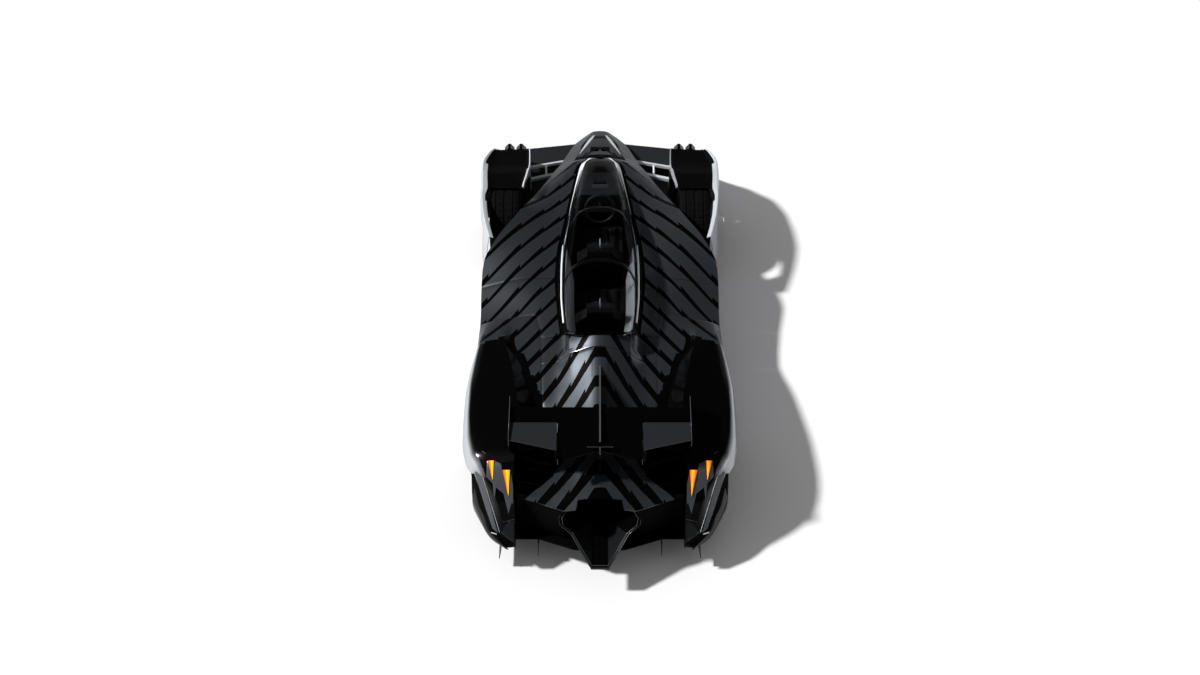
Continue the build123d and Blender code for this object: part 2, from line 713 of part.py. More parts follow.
def rear_wing():
    """Straight wing with a deeper notched middle and a low post at each end of it."""
    half, tail = WING_MID_HALF, WING_MID_TAIL_Y
    outer = prism_x(aerofoil(WING_FRONT_Y, WING_TAIL_Y, WING_Z, WING_T), -WING_HALF, WING_HALF)
    middle = prism_x(aerofoil(WING_FRONT_Y, tail, WING_Z, WING_T), -half, half)
    notch = prism_z([(-half, tail), (0, WING_NOTCH_Y), (half, tail), (half, 1990), (-half, 1990)], 800, 1100)
    side = [(1840, WING_Z - 25), (tail, WING_Z - 25), (tail, WING_Z + 35), (1870, WING_Z + 35)]
    posts = prism_x(side, half - POST_T, half)
    return outer + middle - notch + posts + mirrored(posts)


def wing_flaps():
    """Raised blade behind each end of the wing."""
    inner = WING_MID_HALF + POST_T
    plan = [(inner, FLAP_Y), (WING_HALF, FLAP_Y), (WING_HALF, 1730), (inner, 1830)]
    front, back = WING_Z + 20, WING_Z + 20 + FLAP_RISE
    side = [(FLAP_Y, front - 6), (FLAP_Y, front), (1840, back), (1840, back - 4)]
    half = prism_x(side, 200, WING_HALF + 45) & prism_z(plan, 800, 1100)
    return Compound(children=[half, mirrored(half)])


def wing_endplates():
    """Upright plates that stand on the fenders and carry the wing."""
    side = [(1292, ENDPLATE_Z), (1292, 900), (1330, 975), (1737, 975), (1737, 900), (1660, ENDPLATE_Z)]
    x = WING_HALF + SEAM
    plate = prism_x(side, x, x + ENDPLATE_T) - fender_hull()
    return Compound(children=[plate, mirrored(plate)])


def fin():
    """Upright blade on the spine, with a cross bar near its tip and a slot for the wing."""
    bottom = [(y, rail(COVER, 1, y) + SEAM) for y in stations(FIN_Y, FIN_END_Y)]
    top = [(FIN_END_Y, FIN_TOP_Z), (1780, FIN_TOP_Z), (WING_FRONT_Y, 962), (960, 868)]
    plate = prism_x(bottom + top, -FIN_T / 2, FIN_T / 2)
    bar = box(-FIN_BAR_HALF, FIN_BAR_HALF, 1790, 1816, FIN_TOP_Z - 16, FIN_TOP_Z - 8)
    half = FIN_T / 2 + 1
    slot = box(-half, half, WING_FRONT_Y - SEAM, 1990, WING_Z - WING_T / 4 - SEAM, WING_Z + WING_T + SEAM)
    return plate + bar - slot


# ---- canopy --------------------------------------------------------------
def canopy_line(y):
    """Canopy polyline with a point where the frame gives way to the glass."""
    line = canopy_section(y, CANOPY_GAP)
    first = math.hypot(line[1][0] - line[0][0], line[1][1] - line[0][1])
    width = min(CANOPY_FRAME_W, 0.6 * first)
    low_right = toward(line[0], line[1], width)
    low_left = toward(line[-1], line[-2], width)
    return [line[0], low_right] + line[1:-1] + [low_left, line[-1]]


def canopy_frame():
    y0, y1 = CANOPY_FRONT_Y + CANOPY_GAP, CANOPY_END_Y + 20
    count = len(canopy_line(0)) - 1
    side = skin(canopy_line, stations(y0, y1), 14, count - 1, count, (SEAM, 0))
    front = skin(canopy_line, [y0, -1765], 14, 0, count, (0, 0))
    rear = skin(canopy_line, stations(CANOPY_SILL_Y - 60, y1), 14, 0, count, (0, 0))
    rear = rear & behind_canopy(-CANOPY_GAP - CANOPY_FRAME_W)
    frame = side + mirrored(side) + front + rear
    frame = frame - behind_canopy(-CANOPY_GAP)
    frame = frame - hinge_ring(-HINGE_X1 - 6, HINGE_X1 + 6, HINGE_R + 6, 0)
    barrel = hinge_ring(-HINGE_X0 + 1, HINGE_X0 - 1, HINGE_R, 0)
    arm_plate = box(-HINGE_X0 + 1, HINGE_X0 - 1, HINGE_Y, y0 + 25, HINGE_Z - 14, HINGE_Z - 4)
    lug = barrel + arm_plate - hinge_ring(-HINGE_X0, HINGE_X0, HINGE_PIN_R + 0.1, 0)
    return max((frame + lug).solids(), key=lambda solid: solid.volume)


def canopy_glass():
    y0, y1 = -1765 + SEAM, CANOPY_END_Y
    count = len(canopy_line(0)) - 1
    pane = skin(canopy_line, stations(y0, y1), CANOPY_GLASS_T, 1, count - 1)
    return pane - behind_canopy(-CANOPY_GAP - CANOPY_FRAME_W - SEAM)


# ---- cabin ---------------------------------------------------------------
def tub_rails(y):
    base = point(BODY, 2, y)
    mid = point(BODY, 4, y)
    slope = (mid[1] - base[1]) / (mid[0] - base[0])
    top = base[1] + min(0.0, slope * TUB_WALL) - PANEL - 3.0
    return base[0] - 2, top


def tub():
    rows = []
    y0, y1 = CANOPY_FRONT_Y + 8, CANOPY_REAR_Y - SEAM
    for y in stations(y0, y1):
        inner, top = tub_rails(y)
        outer = inner + TUB_WALL
        floor = SILL_Z
        half = [(outer, top), (outer, floor)]
        back = [(inner, floor + TUB_WALL), (inner, top)]
        rows.append((y, half + [(-x, z) for x, z in half[::-1]] + [(-x, z) for x, z in back[::-1]] + back))
    shell = loft_polygons(rows)
    inner, top = tub_rails(y0)
    half = inner + TUB_WALL / 2
    front = box(-half, half, y0, y0 + TUB_WALL, SILL_Z + TUB_WALL / 2, top - 4)
    return shell + front


def firewall():
    y = CANOPY_REAR_Y
    inner, top = tub_rails(y)
    line = inset(bridge_section(y + 10), PANEL + SEAM)[2:7]
    low = inner + TUB_WALL
    crown = [(x * 0.985, z - 8) for x, z in line]
    outline = [(-low, SILL_Z), (-low, top - 8)] + crown + [(low, top - 8), (low, SILL_Z)]
    return prism_y(outline, y, y + 12)


def seat(y_hip, y_top, z_top, half):
    """Reclined bucket seat: cushion, back and raised sides, from a side outline."""
    z_hip = SEAT_Z
    side = [(y_hip - 420, z_hip + 95), (y_hip - 400, z_hip + 120), (y_hip - 20, z_hip + 45),
            (y_top - 55, z_top - 20), (y_top - 30, z_top), (y_top + 5, z_top), (y_top + 20, z_top - 40),
            (y_hip + 95, z_hip - 40), (y_hip + 20, z_hip - 50), (y_hip - 400, z_hip + 40)]
    body = prism_x(side, -half, half)
    taper = prism_y([(-half, 0), (half, 0), (half, z_top - 260), (105, z_top - 120), (90, 1200), (-90, 1200),
                     (-105, z_top - 120), (-half, z_top - 260)], y_hip - 600, y_top + 200)
    return body & taper


def dashboard():
    rows = []
    for y, z0, z1 in ((-1620, 440, 484), (-1480, 445, 536), (-1300, 455, 596), (-1200, 465, 616)):
        half, top = tub_rails(y)
        half = half - SEAM
        side = [(half, z0), (half, top - 18), (half * 0.74, z1)]
        rows.append((y, [(-x, z) for x, z in side] + side[::-1]))
    return loft_polygons(rows)


def steering_wheel():
    ring = Torus(STEER_RING_R, STEER_TUBE_R)
    bar = Box(2 * STEER_RING_R - 20, 46, 18)
    column = Pos(0, 0, -2 - COLUMN_L / 2) * Cylinder(16, COLUMN_L)
    return Pos(0, STEER_Y, STEER_Z) * Rot(STEER_TILT, 0, 0) * (ring + bar + column)


def engine_block():
    return box(-ENGINE_HALF, ENGINE_HALF, ENGINE_Y, ENGINE_END_Y, SILL_Z, ENGINE_TOP)


def gearbox():
    y0, y1 = ENGINE_END_Y + SEAM, DUCT_Y - 8
    return box(-GEARBOX_HALF, GEARBOX_HALF, y0, y1, GEARBOX_Z, GEARBOX_TOP)


# ---- wheels --------------------------------------------------------------
def tyre(x, y, r, rim_r, width):
    w = width / 2
    half = [(w, rim_r), (w + 4, rim_r + 20), (w, r - 28), (w - 14, r - 6), (w - 34, r)]
    outline = [(-a, b) for a, b in half] + half[::-1]
    face = Face(Wire.make_polygon([Vector(a, 0, b) for a, b in outline], close=True))
    ring = revolve(face, axis=Axis.X)
    return Pos(x, y, r) * ring


def rim(x, y, r, rim_r, width):
    """Barrel, spoked face, hub and brake disc, turned about the axle; outward is +X."""
    w = width / 2 - 4
    outer = rim_r - SEAM
    barrel = ring_x(-w, w, outer, outer - RIM_WALL)
    lip = ring_x(w - 12, w, outer, outer - 24)
    hub = ring_x(HUB_X0, w - 34, 62, HUB_BORE)
    cap = ring_x(w - 34, w - 26, 62, 0.0)
    disc = ring_x(DISC_X, DISC_X + DISC_T, DISC_R, 60)
    spokes = []
    for i in range(SPOKES):
        blade = prism_x([(-14, 50), (14, 50), (22, outer - 6), (-8, outer - 6)], w - 46, w - 28)
        spokes.append(Rot(i * 360.0 / SPOKES, 0, 0) * blade)
    wheel = barrel + lip + hub + cap + disc
    for blade in spokes:
        wheel = wheel + blade
    return Pos(x, y, r) * wheel


def ring_x(x0, x1, r_out, r_in):
    """Ring about X from x0 to x1."""
    face = Face(Wire.make_polygon([Vector(x0, 0, r_in), Vector(x1, 0, r_in), Vector(x1, 0, r_out),
                                   Vector(x0, 0, r_out)], close=True))
    return revolve(face, axis=Axis.X)


def upright(x, y, r, spindle):
    """Upright plate, spindle in the hub and caliper over the disc."""
    x0, x1 = -KINGPIN_INSET - UPRIGHT_T / 2, -KINGPIN_INSET + UPRIGHT_T / 2
    plate = box(x0, x1, -45, 45, 25 - KNUCKLE_H, KNUCKLE_H - 25)
    pin = wheel_cylinder(0, 0, HUB_BORE - BEARING_GAP, x1, spindle)
    cal_x0, cal_x1 = DISC_X - 24, DISC_X + DISC_T + 22
    side = [(70, 30), (DISC_R + 16, 30), (DISC_R + 8, 80), (DISC_R - 40, 150), (80, 90)]
    caliper = prism_x(side, cal_x0, cal_x1)
    slot = ring_x(DISC_X - 5, DISC_X + DISC_T + 5, DISC_R + 6, 0.1)
    bracket = box(x0, cal_x0 + 8, 40, 110, 32, 80)
    kingpin = Pos(-KINGPIN_INSET, 0, 0) * Cylinder(KINGPIN_R, 2 * KNUCKLE_H)
    plate = plate + kingpin
    return Pos(x, y, r) * (plate + pin + (caliper - slot) + bracket)


def arm(carriers, ball_x, y, z):
    """A-arm from two brackets, at (x, y) in carriers, to a ball end."""
    whole = Pos(ball_x, y, z) * Sphere(BALL_R)
    for x, leg_y in carriers:
        foot = box(x, x + 26, leg_y - 22, leg_y + 22, z - 18, z + 18)
        whole = whole + foot + rod((x + 20, leg_y, z), (ball_x, y, z), ARM_R)
    return whole


def wishbones(axle_y, r, ball_x, carrier_x):
    """Upper and lower arms; carrier_x(y) gives the face that their brackets seat on."""
    carriers = []
    for side in (-1, 1):
        leg_y = axle_y + side * ARM_SPREAD
        face = max(carrier_x(leg_y - 22), carrier_x(leg_y + 22))
        carriers.append((face + SEAM, leg_y))
    arms = [arm(carriers, ball_x, axle_y, r + side * ARM_Z) for side in (-1, 1)]
    return Compound(children=arms)


def tub_face(y):
    """Outer face of the tub wall at y."""
    return tub_rails(y)[0] + TUB_WALL


# ---- lamps ---------------------------------------------------------------
def lens(thick):
    """Plate of the given thickness that lies on the sloping tail of the fender."""
    rows = []
    for y in stations(LENS_Y0, LENS_Y1):
        line = fender_line(y)
        low = inset(line, -SEAM)[1:3]
        high = inset(line, -thick)[1:3]
        rows.append((y, [toward(high[0], high[1], 8), toward(high[1], high[0], 12),
                         toward(low[1], low[0], 12), toward(low[0], low[1], 8)]))
    return loft_polygons(rows)


def tail_lamp_left():
    """Smoked lens with two raised spikes that point back."""
    raised = lens(LENS_T + SPIKE_T)
    lamp = lens(LENS_T)
    for spike in SPIKES:
        lamp = lamp + (raised & prism_z(spike, 0, 900))
    return lamp - prism_z(SCOOP, 0, 900)


def headlamps():
    """Two small roof-shaped lamps on the front lip of each pod."""
    hull = pod_hull()
    out = []
    for offset in HEADLAMP_X:
        x = FRONT_TRACK_HALF + offset
        roof = [(x - HEADLAMP_W / 2, HEADLAMP_Z), (x + HEADLAMP_W / 2, HEADLAMP_Z),
                (x + HEADLAMP_W / 8, HEADLAMP_Z + HEADLAMP_H),
                (x - HEADLAMP_W / 8, HEADLAMP_Z + HEADLAMP_H)]
        dome = prism_y(roof, HEADLAMP_Y, HEADLAMP_Y + HEADLAMP_L) - hull
        dome = max(dome.solids(), key=lambda s: s.volume)
        out += [dome, mirrored(dome)]
    return Compound(children=out)


def build():
    nodes = {}
    nodes["nose_shell"] = nose_shell()
    nodes["front_body_left"] = front_body_left()
    nodes["mid_body"] = mid_body()
    nodes["engine_cover"] = engine_cover()
    nodes["rear_deck"] = rear_deck()
    nodes["tail_duct"] = tail_duct()
    nodes["rear_fender_left"] = rear_fender_left()
    nodes["front_pod_left"] = front_pod_left()
    nodes["floor_pan"] = floor_pan()
    nodes["diffuser"] = diffuser()
    nodes["strakes"] = strakes()
    nodes["rear_fascia"] = rear_fascia()
    nodes["front_wing"] = front_wing()
    nodes["rear_wing"] = rear_wing()
    nodes["wing_flaps"] = wing_flaps()
    nodes["wing_endplates"] = wing_endplates()
    nodes["fin"] = fin()
    nodes["canopy_frame"] = canopy_frame()
    nodes["canopy_glass"] = canopy_glass()
    nodes["tub"] = tub()
    nodes["firewall"] = firewall()
    nodes["seat_front"] = seat(*SEAT_FRONT)
    nodes["seat_rear"] = seat(*SEAT_REAR)
    nodes["dashboard"] = dashboard()
    nodes["steering_wheel"] = steering_wheel()
    nodes["powertrain"] = Compound(children=[engine_block(), gearbox()])
    lamp = tail_lamp_left()
    nodes["tail_lamps"] = Compound(children=[lamp, mirrored(lamp)])
    nodes["headlamps"] = headlamps()
    for axle, x, y, r, rim_r, width, carrier in (
        ("front", FRONT_TRACK_HALF, FRONT_AXLE_Y, FRONT_TYRE_R, FRONT_RIM_R, FRONT_TYRE_W, tub_face),
        ("rear", REAR_TRACK_HALF, REAR_AXLE_Y, REAR_TYRE_R, REAR_RIM_R, REAR_TYRE_W,
         lambda y: GEARBOX_HALF),
    ):
        nodes[f"tyre_{axle}_left"] = tyre(x, y, r, rim_r, width)
        nodes[f"rim_{axle}_left"] = rim(x, y, r, rim_r, width)
        nodes[f"upright_{axle}_left"] = upright(x, y, r, width / 2 - 50)
        arms = wishbones(y, r, x - KINGPIN_INSET, carrier)
        nodes[f"wishbones_{axle}"] = Compound(children=[arms, mirrored(arms)])
    for name in list(nodes):
        if name.endswith("_left"):
            nodes[name[:-5] + "_right"] = mirrored(nodes[name])
    return nodes


os.makedirs("parts", exist_ok=True)
for name, shape in build().items():
    export_step(shape, f"parts/{name}.step")
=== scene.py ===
# %% [markdown]
# # Tandem hypercar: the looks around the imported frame
# The car is a low closed two-seater with a teardrop canopy, front wheel pods, tall rear
# haunches and a wing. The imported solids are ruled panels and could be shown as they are. Here
# the same rails are drawn again as fine, softly crowned skins, so that light runs along them
# as it does on pressed carbon.

import math
from types import SimpleNamespace

import bmesh
import bpy
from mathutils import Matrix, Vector


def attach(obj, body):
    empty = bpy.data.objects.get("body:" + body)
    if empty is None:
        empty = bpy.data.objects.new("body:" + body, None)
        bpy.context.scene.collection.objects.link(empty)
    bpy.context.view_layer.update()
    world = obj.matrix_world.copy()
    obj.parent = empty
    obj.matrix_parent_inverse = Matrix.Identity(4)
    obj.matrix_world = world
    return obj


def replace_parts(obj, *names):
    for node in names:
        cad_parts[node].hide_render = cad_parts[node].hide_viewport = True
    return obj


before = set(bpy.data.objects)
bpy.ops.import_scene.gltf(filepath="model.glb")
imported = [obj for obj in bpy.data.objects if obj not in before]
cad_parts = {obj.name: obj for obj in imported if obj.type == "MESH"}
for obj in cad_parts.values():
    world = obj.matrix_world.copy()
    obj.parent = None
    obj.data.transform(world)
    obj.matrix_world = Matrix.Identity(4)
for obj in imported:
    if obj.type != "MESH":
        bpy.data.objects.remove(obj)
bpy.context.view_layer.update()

# %% [markdown]
# ## Small tools for shader trees
# Every finish below is a node tree. It could be wired by hand in the shader editor. In a script
# a thin wrapper keeps each tree to a few lines: it makes a node, links or sets its inputs, and
# hands back an output socket.


# %% Shader tools
class Tree:
    """Short names for building one node tree."""

    def __init__(self, tree):
        self.tree = tree

    def put(self, socket, value):
        if isinstance(value, bpy.types.NodeSocket):
            self.tree.links.new(value, socket)
        else:
            socket.default_value = value

    def node(self, kind, inputs=None, **props):
        node = self.tree.nodes.new(kind)
        for key, value in props.items():
            setattr(node, key, value)
        for key, value in (inputs or {}).items():
            self.put(node.inputs[key], value)
        return node

    def math(self, operation, a, b=0.0, c=0.0):
        return self.node("ShaderNodeMath", {0: a, 1: b, 2: c}, operation=operation).outputs[0]

    def add(self, a, b):
        return self.math("ADD", a, b)

    def sub(self, a, b):
        return self.math("SUBTRACT", a, b)

    def mul(self, a, b):
        return self.math("MULTIPLY", a, b)

    def div(self, a, b):
        return self.math("DIVIDE", a, b)

    def size(self, a):
        return self.math("ABSOLUTE", a)

    def clamp(self, value, low=0.0):
        """Value kept between low and 1."""
        return self.math("MAXIMUM", self.math("MINIMUM", value, 1.0), low)

    def blend(self, factor, a, b):
        return self.add(self.mul(self.sub(b, a), factor), a)

    def mix(self, factor, a, b):
        node = self.node("ShaderNodeMix", data_type="RGBA")
        for slot, value in ((0, factor), (6, a), (7, b)):
            self.put(node.inputs[slot], value)
        return node.outputs[2]

    def scaled(self, colour, factor):
        node = self.node("ShaderNodeVectorMath", {0: colour}, operation="SCALE")
        self.put(node.inputs["Scale"], factor)
        return node.outputs[0]

    def ramp(self, factor, stops):
        """Colour ramp through (position, colour) stops."""
        node = self.node("ShaderNodeValToRGB", {"Fac": factor})
        elements = node.color_ramp.elements
        elements[0].position, elements[0].color = stops[0]
        elements[1].position, elements[1].color = stops[-1]
        for position, colour in stops[1:-1]:
            elements.new(position).color = colour
        return node.outputs["Color"]

    def split(self, vector):
        return self.node("ShaderNodeSeparateXYZ", {0: vector}).outputs

    def noise(self, vector, scale, detail=2.0):
        node = self.node("ShaderNodeTexNoise", {"Vector": vector, "Scale": scale, "Detail": detail})
        return node.outputs[0]

    def bump(self, height, strength, distance):
        node = self.node("ShaderNodeBump",
                         {"Height": height, "Strength": strength, "Distance": distance})
        return node.outputs[0]


def group_tree(name, inputs, outputs):
    """New shader group with named sockets; returns (group, its Tree, input and output nodes)."""
    group = bpy.data.node_groups.new(name, "ShaderNodeTree")
    for label, kind, value in inputs:
        socket = group.interface.new_socket(label, in_out="INPUT", socket_type=kind)
        if value is not None:
            socket.default_value = value
    for label, kind in outputs:
        group.interface.new_socket(label, in_out="OUTPUT", socket_type=kind)
    tree = Tree(group)
    return group, tree, tree.node("NodeGroupInput").outputs, tree.node("NodeGroupOutput").inputs


def use(tree, group, point, **values):
    """Group node fed with the object coordinates; returns its outputs."""
    node = tree.node("ShaderNodeGroup", node_tree=group)
    tree.put(node.inputs["Point"], point)
    for key, value in values.items():
        tree.put(node.inputs[key], value)
    return node.outputs


def material(name):
    """New material; returns (material, its Tree, the Principled node, object coordinates)."""
    mat = bpy.data.materials.new(name)
    mat.use_nodes = True
    tree = Tree(mat.node_tree)
    shader = mat.node_tree.nodes["Principled BSDF"]
    return mat, tree, shader, tree.node("ShaderNodeTexCoord").outputs["Object"]


FLOAT, VECTOR = "NodeSocketFloat", "NodeSocketVector"

# %% [markdown]
# ## Striped livery
# Satin slate bars lie over gloss black in forward-pointing chevrons. The bars are long and
# narrow, break into columns that step, and the black between them swells along each column. A
# painted image could hold them, but would blur close up. A few sums on x and y stay sharp: a
# sloped phase, a step for each column, and a threshold.

# %% Livery mask
livery, t, given, out = group_tree(
    "chevron_bars",
    [("Point", VECTOR, None), ("Period", FLOAT, 0.232), ("Slope", FLOAT, 1.75),
     ("Bend", FLOAT, 0.35), ("Column", FLOAT, 0.11), ("Step", FLOAT, 0.16), ("Gap", FLOAT, 0.24),
     ("Tail gap", FLOAT, 0.26)],
    [("Bar", FLOAT)],
)
BLUNT_POINT = 0.04  # half width of the blunt point where both sides meet
EVEN_COLUMNS = 3.0  # columns of one width, before they widen
TAIL_FROM, TAIL_OVER = 0.2, 1.6
x, y, _ = t.split(given["Point"])
across = t.math("MAXIMUM", t.size(x), BLUNT_POINT)
even = t.mul(given["Column"], EVEN_COLUMNS)
outside = t.math("LOGARITHM", t.div(t.math("MAXIMUM", across, even), even), math.e)
column = t.add(t.div(t.math("MINIMUM", across, even), given["Column"]), t.mul(outside, EVEN_COLUMNS))
inside = t.math("FRACT", column)
climb = t.sub(t.mul(given["Slope"], across), t.mul(given["Bend"], t.mul(across, across)))
phase = t.div(t.sub(y, climb), given["Period"])
phase = t.math("FRACT", t.add(phase, t.mul(t.math("FLOOR", column), given["Step"])))
swell = t.add(0.7, t.mul(t.sub(1.0, inside), 0.6))
rearward = t.clamp(t.div(t.sub(y, TAIL_FROM), TAIL_OVER))
width = t.add(t.mul(given["Gap"], swell), t.mul(rearward, given["Tail gap"]))
t.put(out["Bar"], t.math("GREATER_THAN", phase, width))
print("livery group:", len(livery.nodes), "nodes")

# %% [markdown]
# ## Fine effects shared by the finishes
# Paint carries a very fine flake and a slow ripple left by the lacquer. Bare composite shows a
# twill of tows, and rubber and suede a soft grain. Each effect is one group that every finish
# places with its own values, so a change here reaches them all.

# %% Shared effect groups
flake, t, given, out = group_tree(
    "lacquer_ripple", [("Point", VECTOR, None), ("Scale", FLOAT, 60.0)],
    [("Shade", FLOAT), ("Height", FLOAT)])
t.put(out["Shade"], t.noise(given["Point"], 2200.0, 1.0))
t.put(out["Height"], t.noise(given["Point"], given["Scale"], 1.0))

weave, t, given, out = group_tree(
    "twill_weave", [("Point", VECTOR, None), ("Pitch", FLOAT, 0.006)],
    [("Shade", FLOAT), ("Height", FLOAT)])
x, y, z = t.split(given["Point"])
warp = t.div(t.add(x, z), given["Pitch"])
weft = t.div(t.sub(y, z), given["Pitch"])
diagonal = t.math("FRACT", t.div(t.add(t.math("FLOOR", warp), t.math("FLOOR", weft)), 4.0))
over = t.math("LESS_THAN", diagonal, 0.45)
warp_crown, weft_crown = (t.math("SINE", t.mul(t.math("FRACT", tow), math.pi)) for tow in (warp, weft))
t.put(out["Shade"], over)
t.put(out["Height"], t.blend(over, warp_crown, weft_crown))

grain, t, given, out = group_tree(
    "soft_grain", [("Point", VECTOR, None), ("Scale", FLOAT, 700.0)],
    [("Shade", FLOAT), ("Height", FLOAT)])
t.put(out["Shade"], t.noise(given["Point"], 9.0, 3.0))
t.put(out["Height"], t.noise(given["Point"], given["Scale"], 3.0))

# Slope mask from the normal: it places the painted sheen, silver laid on steep faces for the bright
# reflection along the flanks.
upright, t, given, out = group_tree(
    "painted_sheen_slope", [("Point", VECTOR, None), ("From", FLOAT, 0.72), ("To", FLOAT, 0.30)],
    [("Mask", FLOAT)])
_, _, up = t.split(given["Point"])
run = t.clamp(t.div(t.sub(given["From"], t.size(up)), t.sub(given["From"], given["To"])))
t.put(out["Mask"], t.mul(run, run))
print("effect groups:", [g.name for g in (flake, weave, grain, upright)])

# %% [markdown]
# ## Paint
# The body wears one lacquer over two tones, so the shine stays the same across a bar's edge
# while the colour and the base roughness change. The haunch tops and the wing have plain black.
# On the steep flanks the colour turns silver: a painted sheen that stands for the bright studio reflection
# along the sides. It could be masked by hand, but the slope of the surface gives the same line and follows
# any change of shape.

# %% Paint materials
BLACK = (0.0012, 0.0012, 0.0014, 1.0)
SLATE = (0.014, 0.016, 0.018, 1.0)
BAR_DARK, BAR_LIGHT = (0.060, 0.068, 0.076, 1.0), (0.084, 0.095, 0.105, 1.0)
# Painted sheen: silver that stands for the bright reflection along the flanks.
FLANK_SHEEN_SILVER, HAUNCH_SHEEN_SILVER = (0.42, 0.44, 0.47, 1.0), (0.60, 0.62, 0.65, 1.0)
FLANK_X, HAUNCH_END = 0.80, 1.82  # painted sheen of silver starts beyond this x, and stops at this y


def lacquer(tree, shader, place, coat, coat_rough, ripple=0.00004):
    effect = use(tree, flake, place)
    shader.inputs["Coat Weight"].default_value = coat
    shader.inputs["Coat Roughness"].default_value = coat_rough
    tree.put(shader.inputs["Normal"], tree.bump(effect["Height"], 0.12, ripple))
    return effect["Shade"]


def painted_sheen_mask(tree, reach, **slopes):
    """Mask of the painted sheen on the sloped faces, where reach lets it through."""
    normal = tree.node("ShaderNodeNewGeometry").outputs["Normal"]
    return tree.mul(use(tree, upright, normal, **slopes)["Mask"], tree.clamp(reach))


def painted(name, base, rough, coat, coat_rough, sheen_colour=None, metallic=0.0, specular=0.5):
    """One lacquered tone; the optional silver is a painted sheen that comes in on the upright sides."""
    mat, tree, shader, place = material(name)
    sparkle = lacquer(tree, shader, place, coat, coat_rough)
    colour = tree.scaled(base[:3], tree.add(0.88, tree.mul(sparkle, 0.24)))
    shader.inputs["Roughness"].default_value = rough
    shader.inputs["Metallic"].default_value = metallic
    shader.inputs["Specular IOR Level"].default_value = specular
    if sheen_colour:
        _, along, _ = tree.split(place)
        sheen_mask = painted_sheen_mask(tree, tree.div(tree.sub(HAUNCH_END, along), 0.10), From=0.90, To=0.55)
        colour = tree.mix(sheen_mask, colour, sheen_colour)
        tree.put(shader.inputs["Metallic"], tree.mul(sheen_mask, 0.5))
    tree.put(shader.inputs["Base Color"], colour)
    return mat


def striped(name):
    """Black and slate of the livery, with a painted sheen of silver where the flank stands upright."""
    mat, tree, shader, place = material(name)
    bar = use(tree, livery, place)["Bar"]
    sparkle = lacquer(tree, shader, place, 0.25, 0.12)
    across, _, _ = tree.split(place)
    sheen_mask = painted_sheen_mask(tree, tree.div(tree.sub(tree.size(across), FLANK_X), 0.06), From=0.55, To=0.15)
    two_tone = tree.mix(bar, BLACK, tree.mix(sparkle, BAR_DARK, BAR_LIGHT))
    tree.put(shader.inputs["Base Color"], tree.mix(sheen_mask, two_tone, FLANK_SHEEN_SILVER))
    tree.put(shader.inputs["Roughness"], tree.blend(bar, 0.12, 0.34))
    tree.put(shader.inputs["Metallic"], tree.mul(bar, 0.75))
    return mat


livery_paint = striped("livery_paint")
gloss_black = painted("gloss_black", BLACK, 0.12, 0.4, 0.05)
# Black with a painted sheen of silver on the steep outer side of the haunch.
haunch_sheen_black = painted("haunch_sheen_black", BLACK, 0.16, 0.4, 0.06, sheen_colour=HAUNCH_SHEEN_SILVER)
slate_paint = painted("slate_paint", SLATE, 0.42, 0.35, 0.2)
# Near-black with almost no reflection: painted shade in the pod dishes and over the nose vents, and the
# colour of the dark joints, the side grooves, the diffuser and the rear fascia.
shade_and_joint_black = painted("shade_and_joint_black", (0.0015, 0.0015, 0.0017), 0.6, 0.0, 0.5, specular=0.04)
# Silver for real trim and beads, and for painted highlights: the nose strips, the headrest strips, the front
# wing's trailing edge and the sheen on the pod rims.
trim_and_highlight_silver = painted("trim_and_highlight_silver", (0.72, 0.75, 0.78), 0.25, 0.6, 0.08, metallic=0.35)
print("paints:", [m.name for m in bpy.data.materials])

# %% [markdown]
# ## Composite, rubber, metal and cloth
# Floor and strakes are bare twill under a dull resin. Tyres are dull rubber, arms and rims dark
# metal, and the seats dark suede. One function makes them all, since they differ only in colour,
# roughness and which shared effect they wear.


# %% Other materials
def simple(name, base, rough, metallic=0.0, effect=grain, depth=0.0002, spread=0.3, specular=0.5, **values):
    """Finish with one shared effect that shades the colour and lifts the surface a little."""
    mat, tree, shader, place = material(name)
    shown = use(tree, effect, place, **values)
    dark, light = (tuple(min(1.0, c * (1 + k * spread)) for c in base) + (1.0,) for k in (-1, 1))
    tree.put(shader.inputs["Base Color"], tree.mix(shown["Shade"], dark, light))
    shader.inputs["Roughness"].default_value = rough
    shader.inputs["Metallic"].default_value = metallic
    shader.inputs["Specular IOR Level"].default_value = specular
    tree.put(shader.inputs["Normal"], tree.bump(shown["Height"], 0.35, depth))
    return mat


carbon = simple("carbon_twill", (0.005, 0.005, 0.0055), 0.42, effect=weave, depth=0.0003, spread=0.5)
arm_black = simple("arm_black", (0.006, 0.006, 0.0065), 0.38, depth=0.0001)
dark_panel = simple("dark_panel", (0.012, 0.012, 0.013), 0.45, depth=0.0001)
rubber = simple("tyre_rubber", (0.0022, 0.0022, 0.0023), 0.85, depth=0.0004, specular=0.08)
# Pale paint for painted light on the cabin's inner walls.
wall_light_paint = simple("pale_wall_light", (0.34, 0.35, 0.36), 0.6, depth=0.0003)
rim_metal = simple("rim_dark_metal", (0.10, 0.10, 0.105), 0.28, metallic=1.0, depth=0.00005)
steel = simple("bright_steel", (0.52, 0.53, 0.55), 0.25, metallic=1.0, depth=0.00005, spread=0.1)
iron = simple("cast_metal", (0.10, 0.10, 0.10), 0.55, metallic=0.8, depth=0.0005)
suede = simple("seat_suede", (0.006, 0.006, 0.0065), 0.85, depth=0.0006, Scale=1400.0)
print("finishes so far:", len(bpy.data.materials))

# %% [markdown]
# ## Smoked glass
# The canopy is one thin smoked pane. A thick refracting solid would bend the cabin out of
# place, so its index is close to air, and its shadow is half let through as by thin glass.

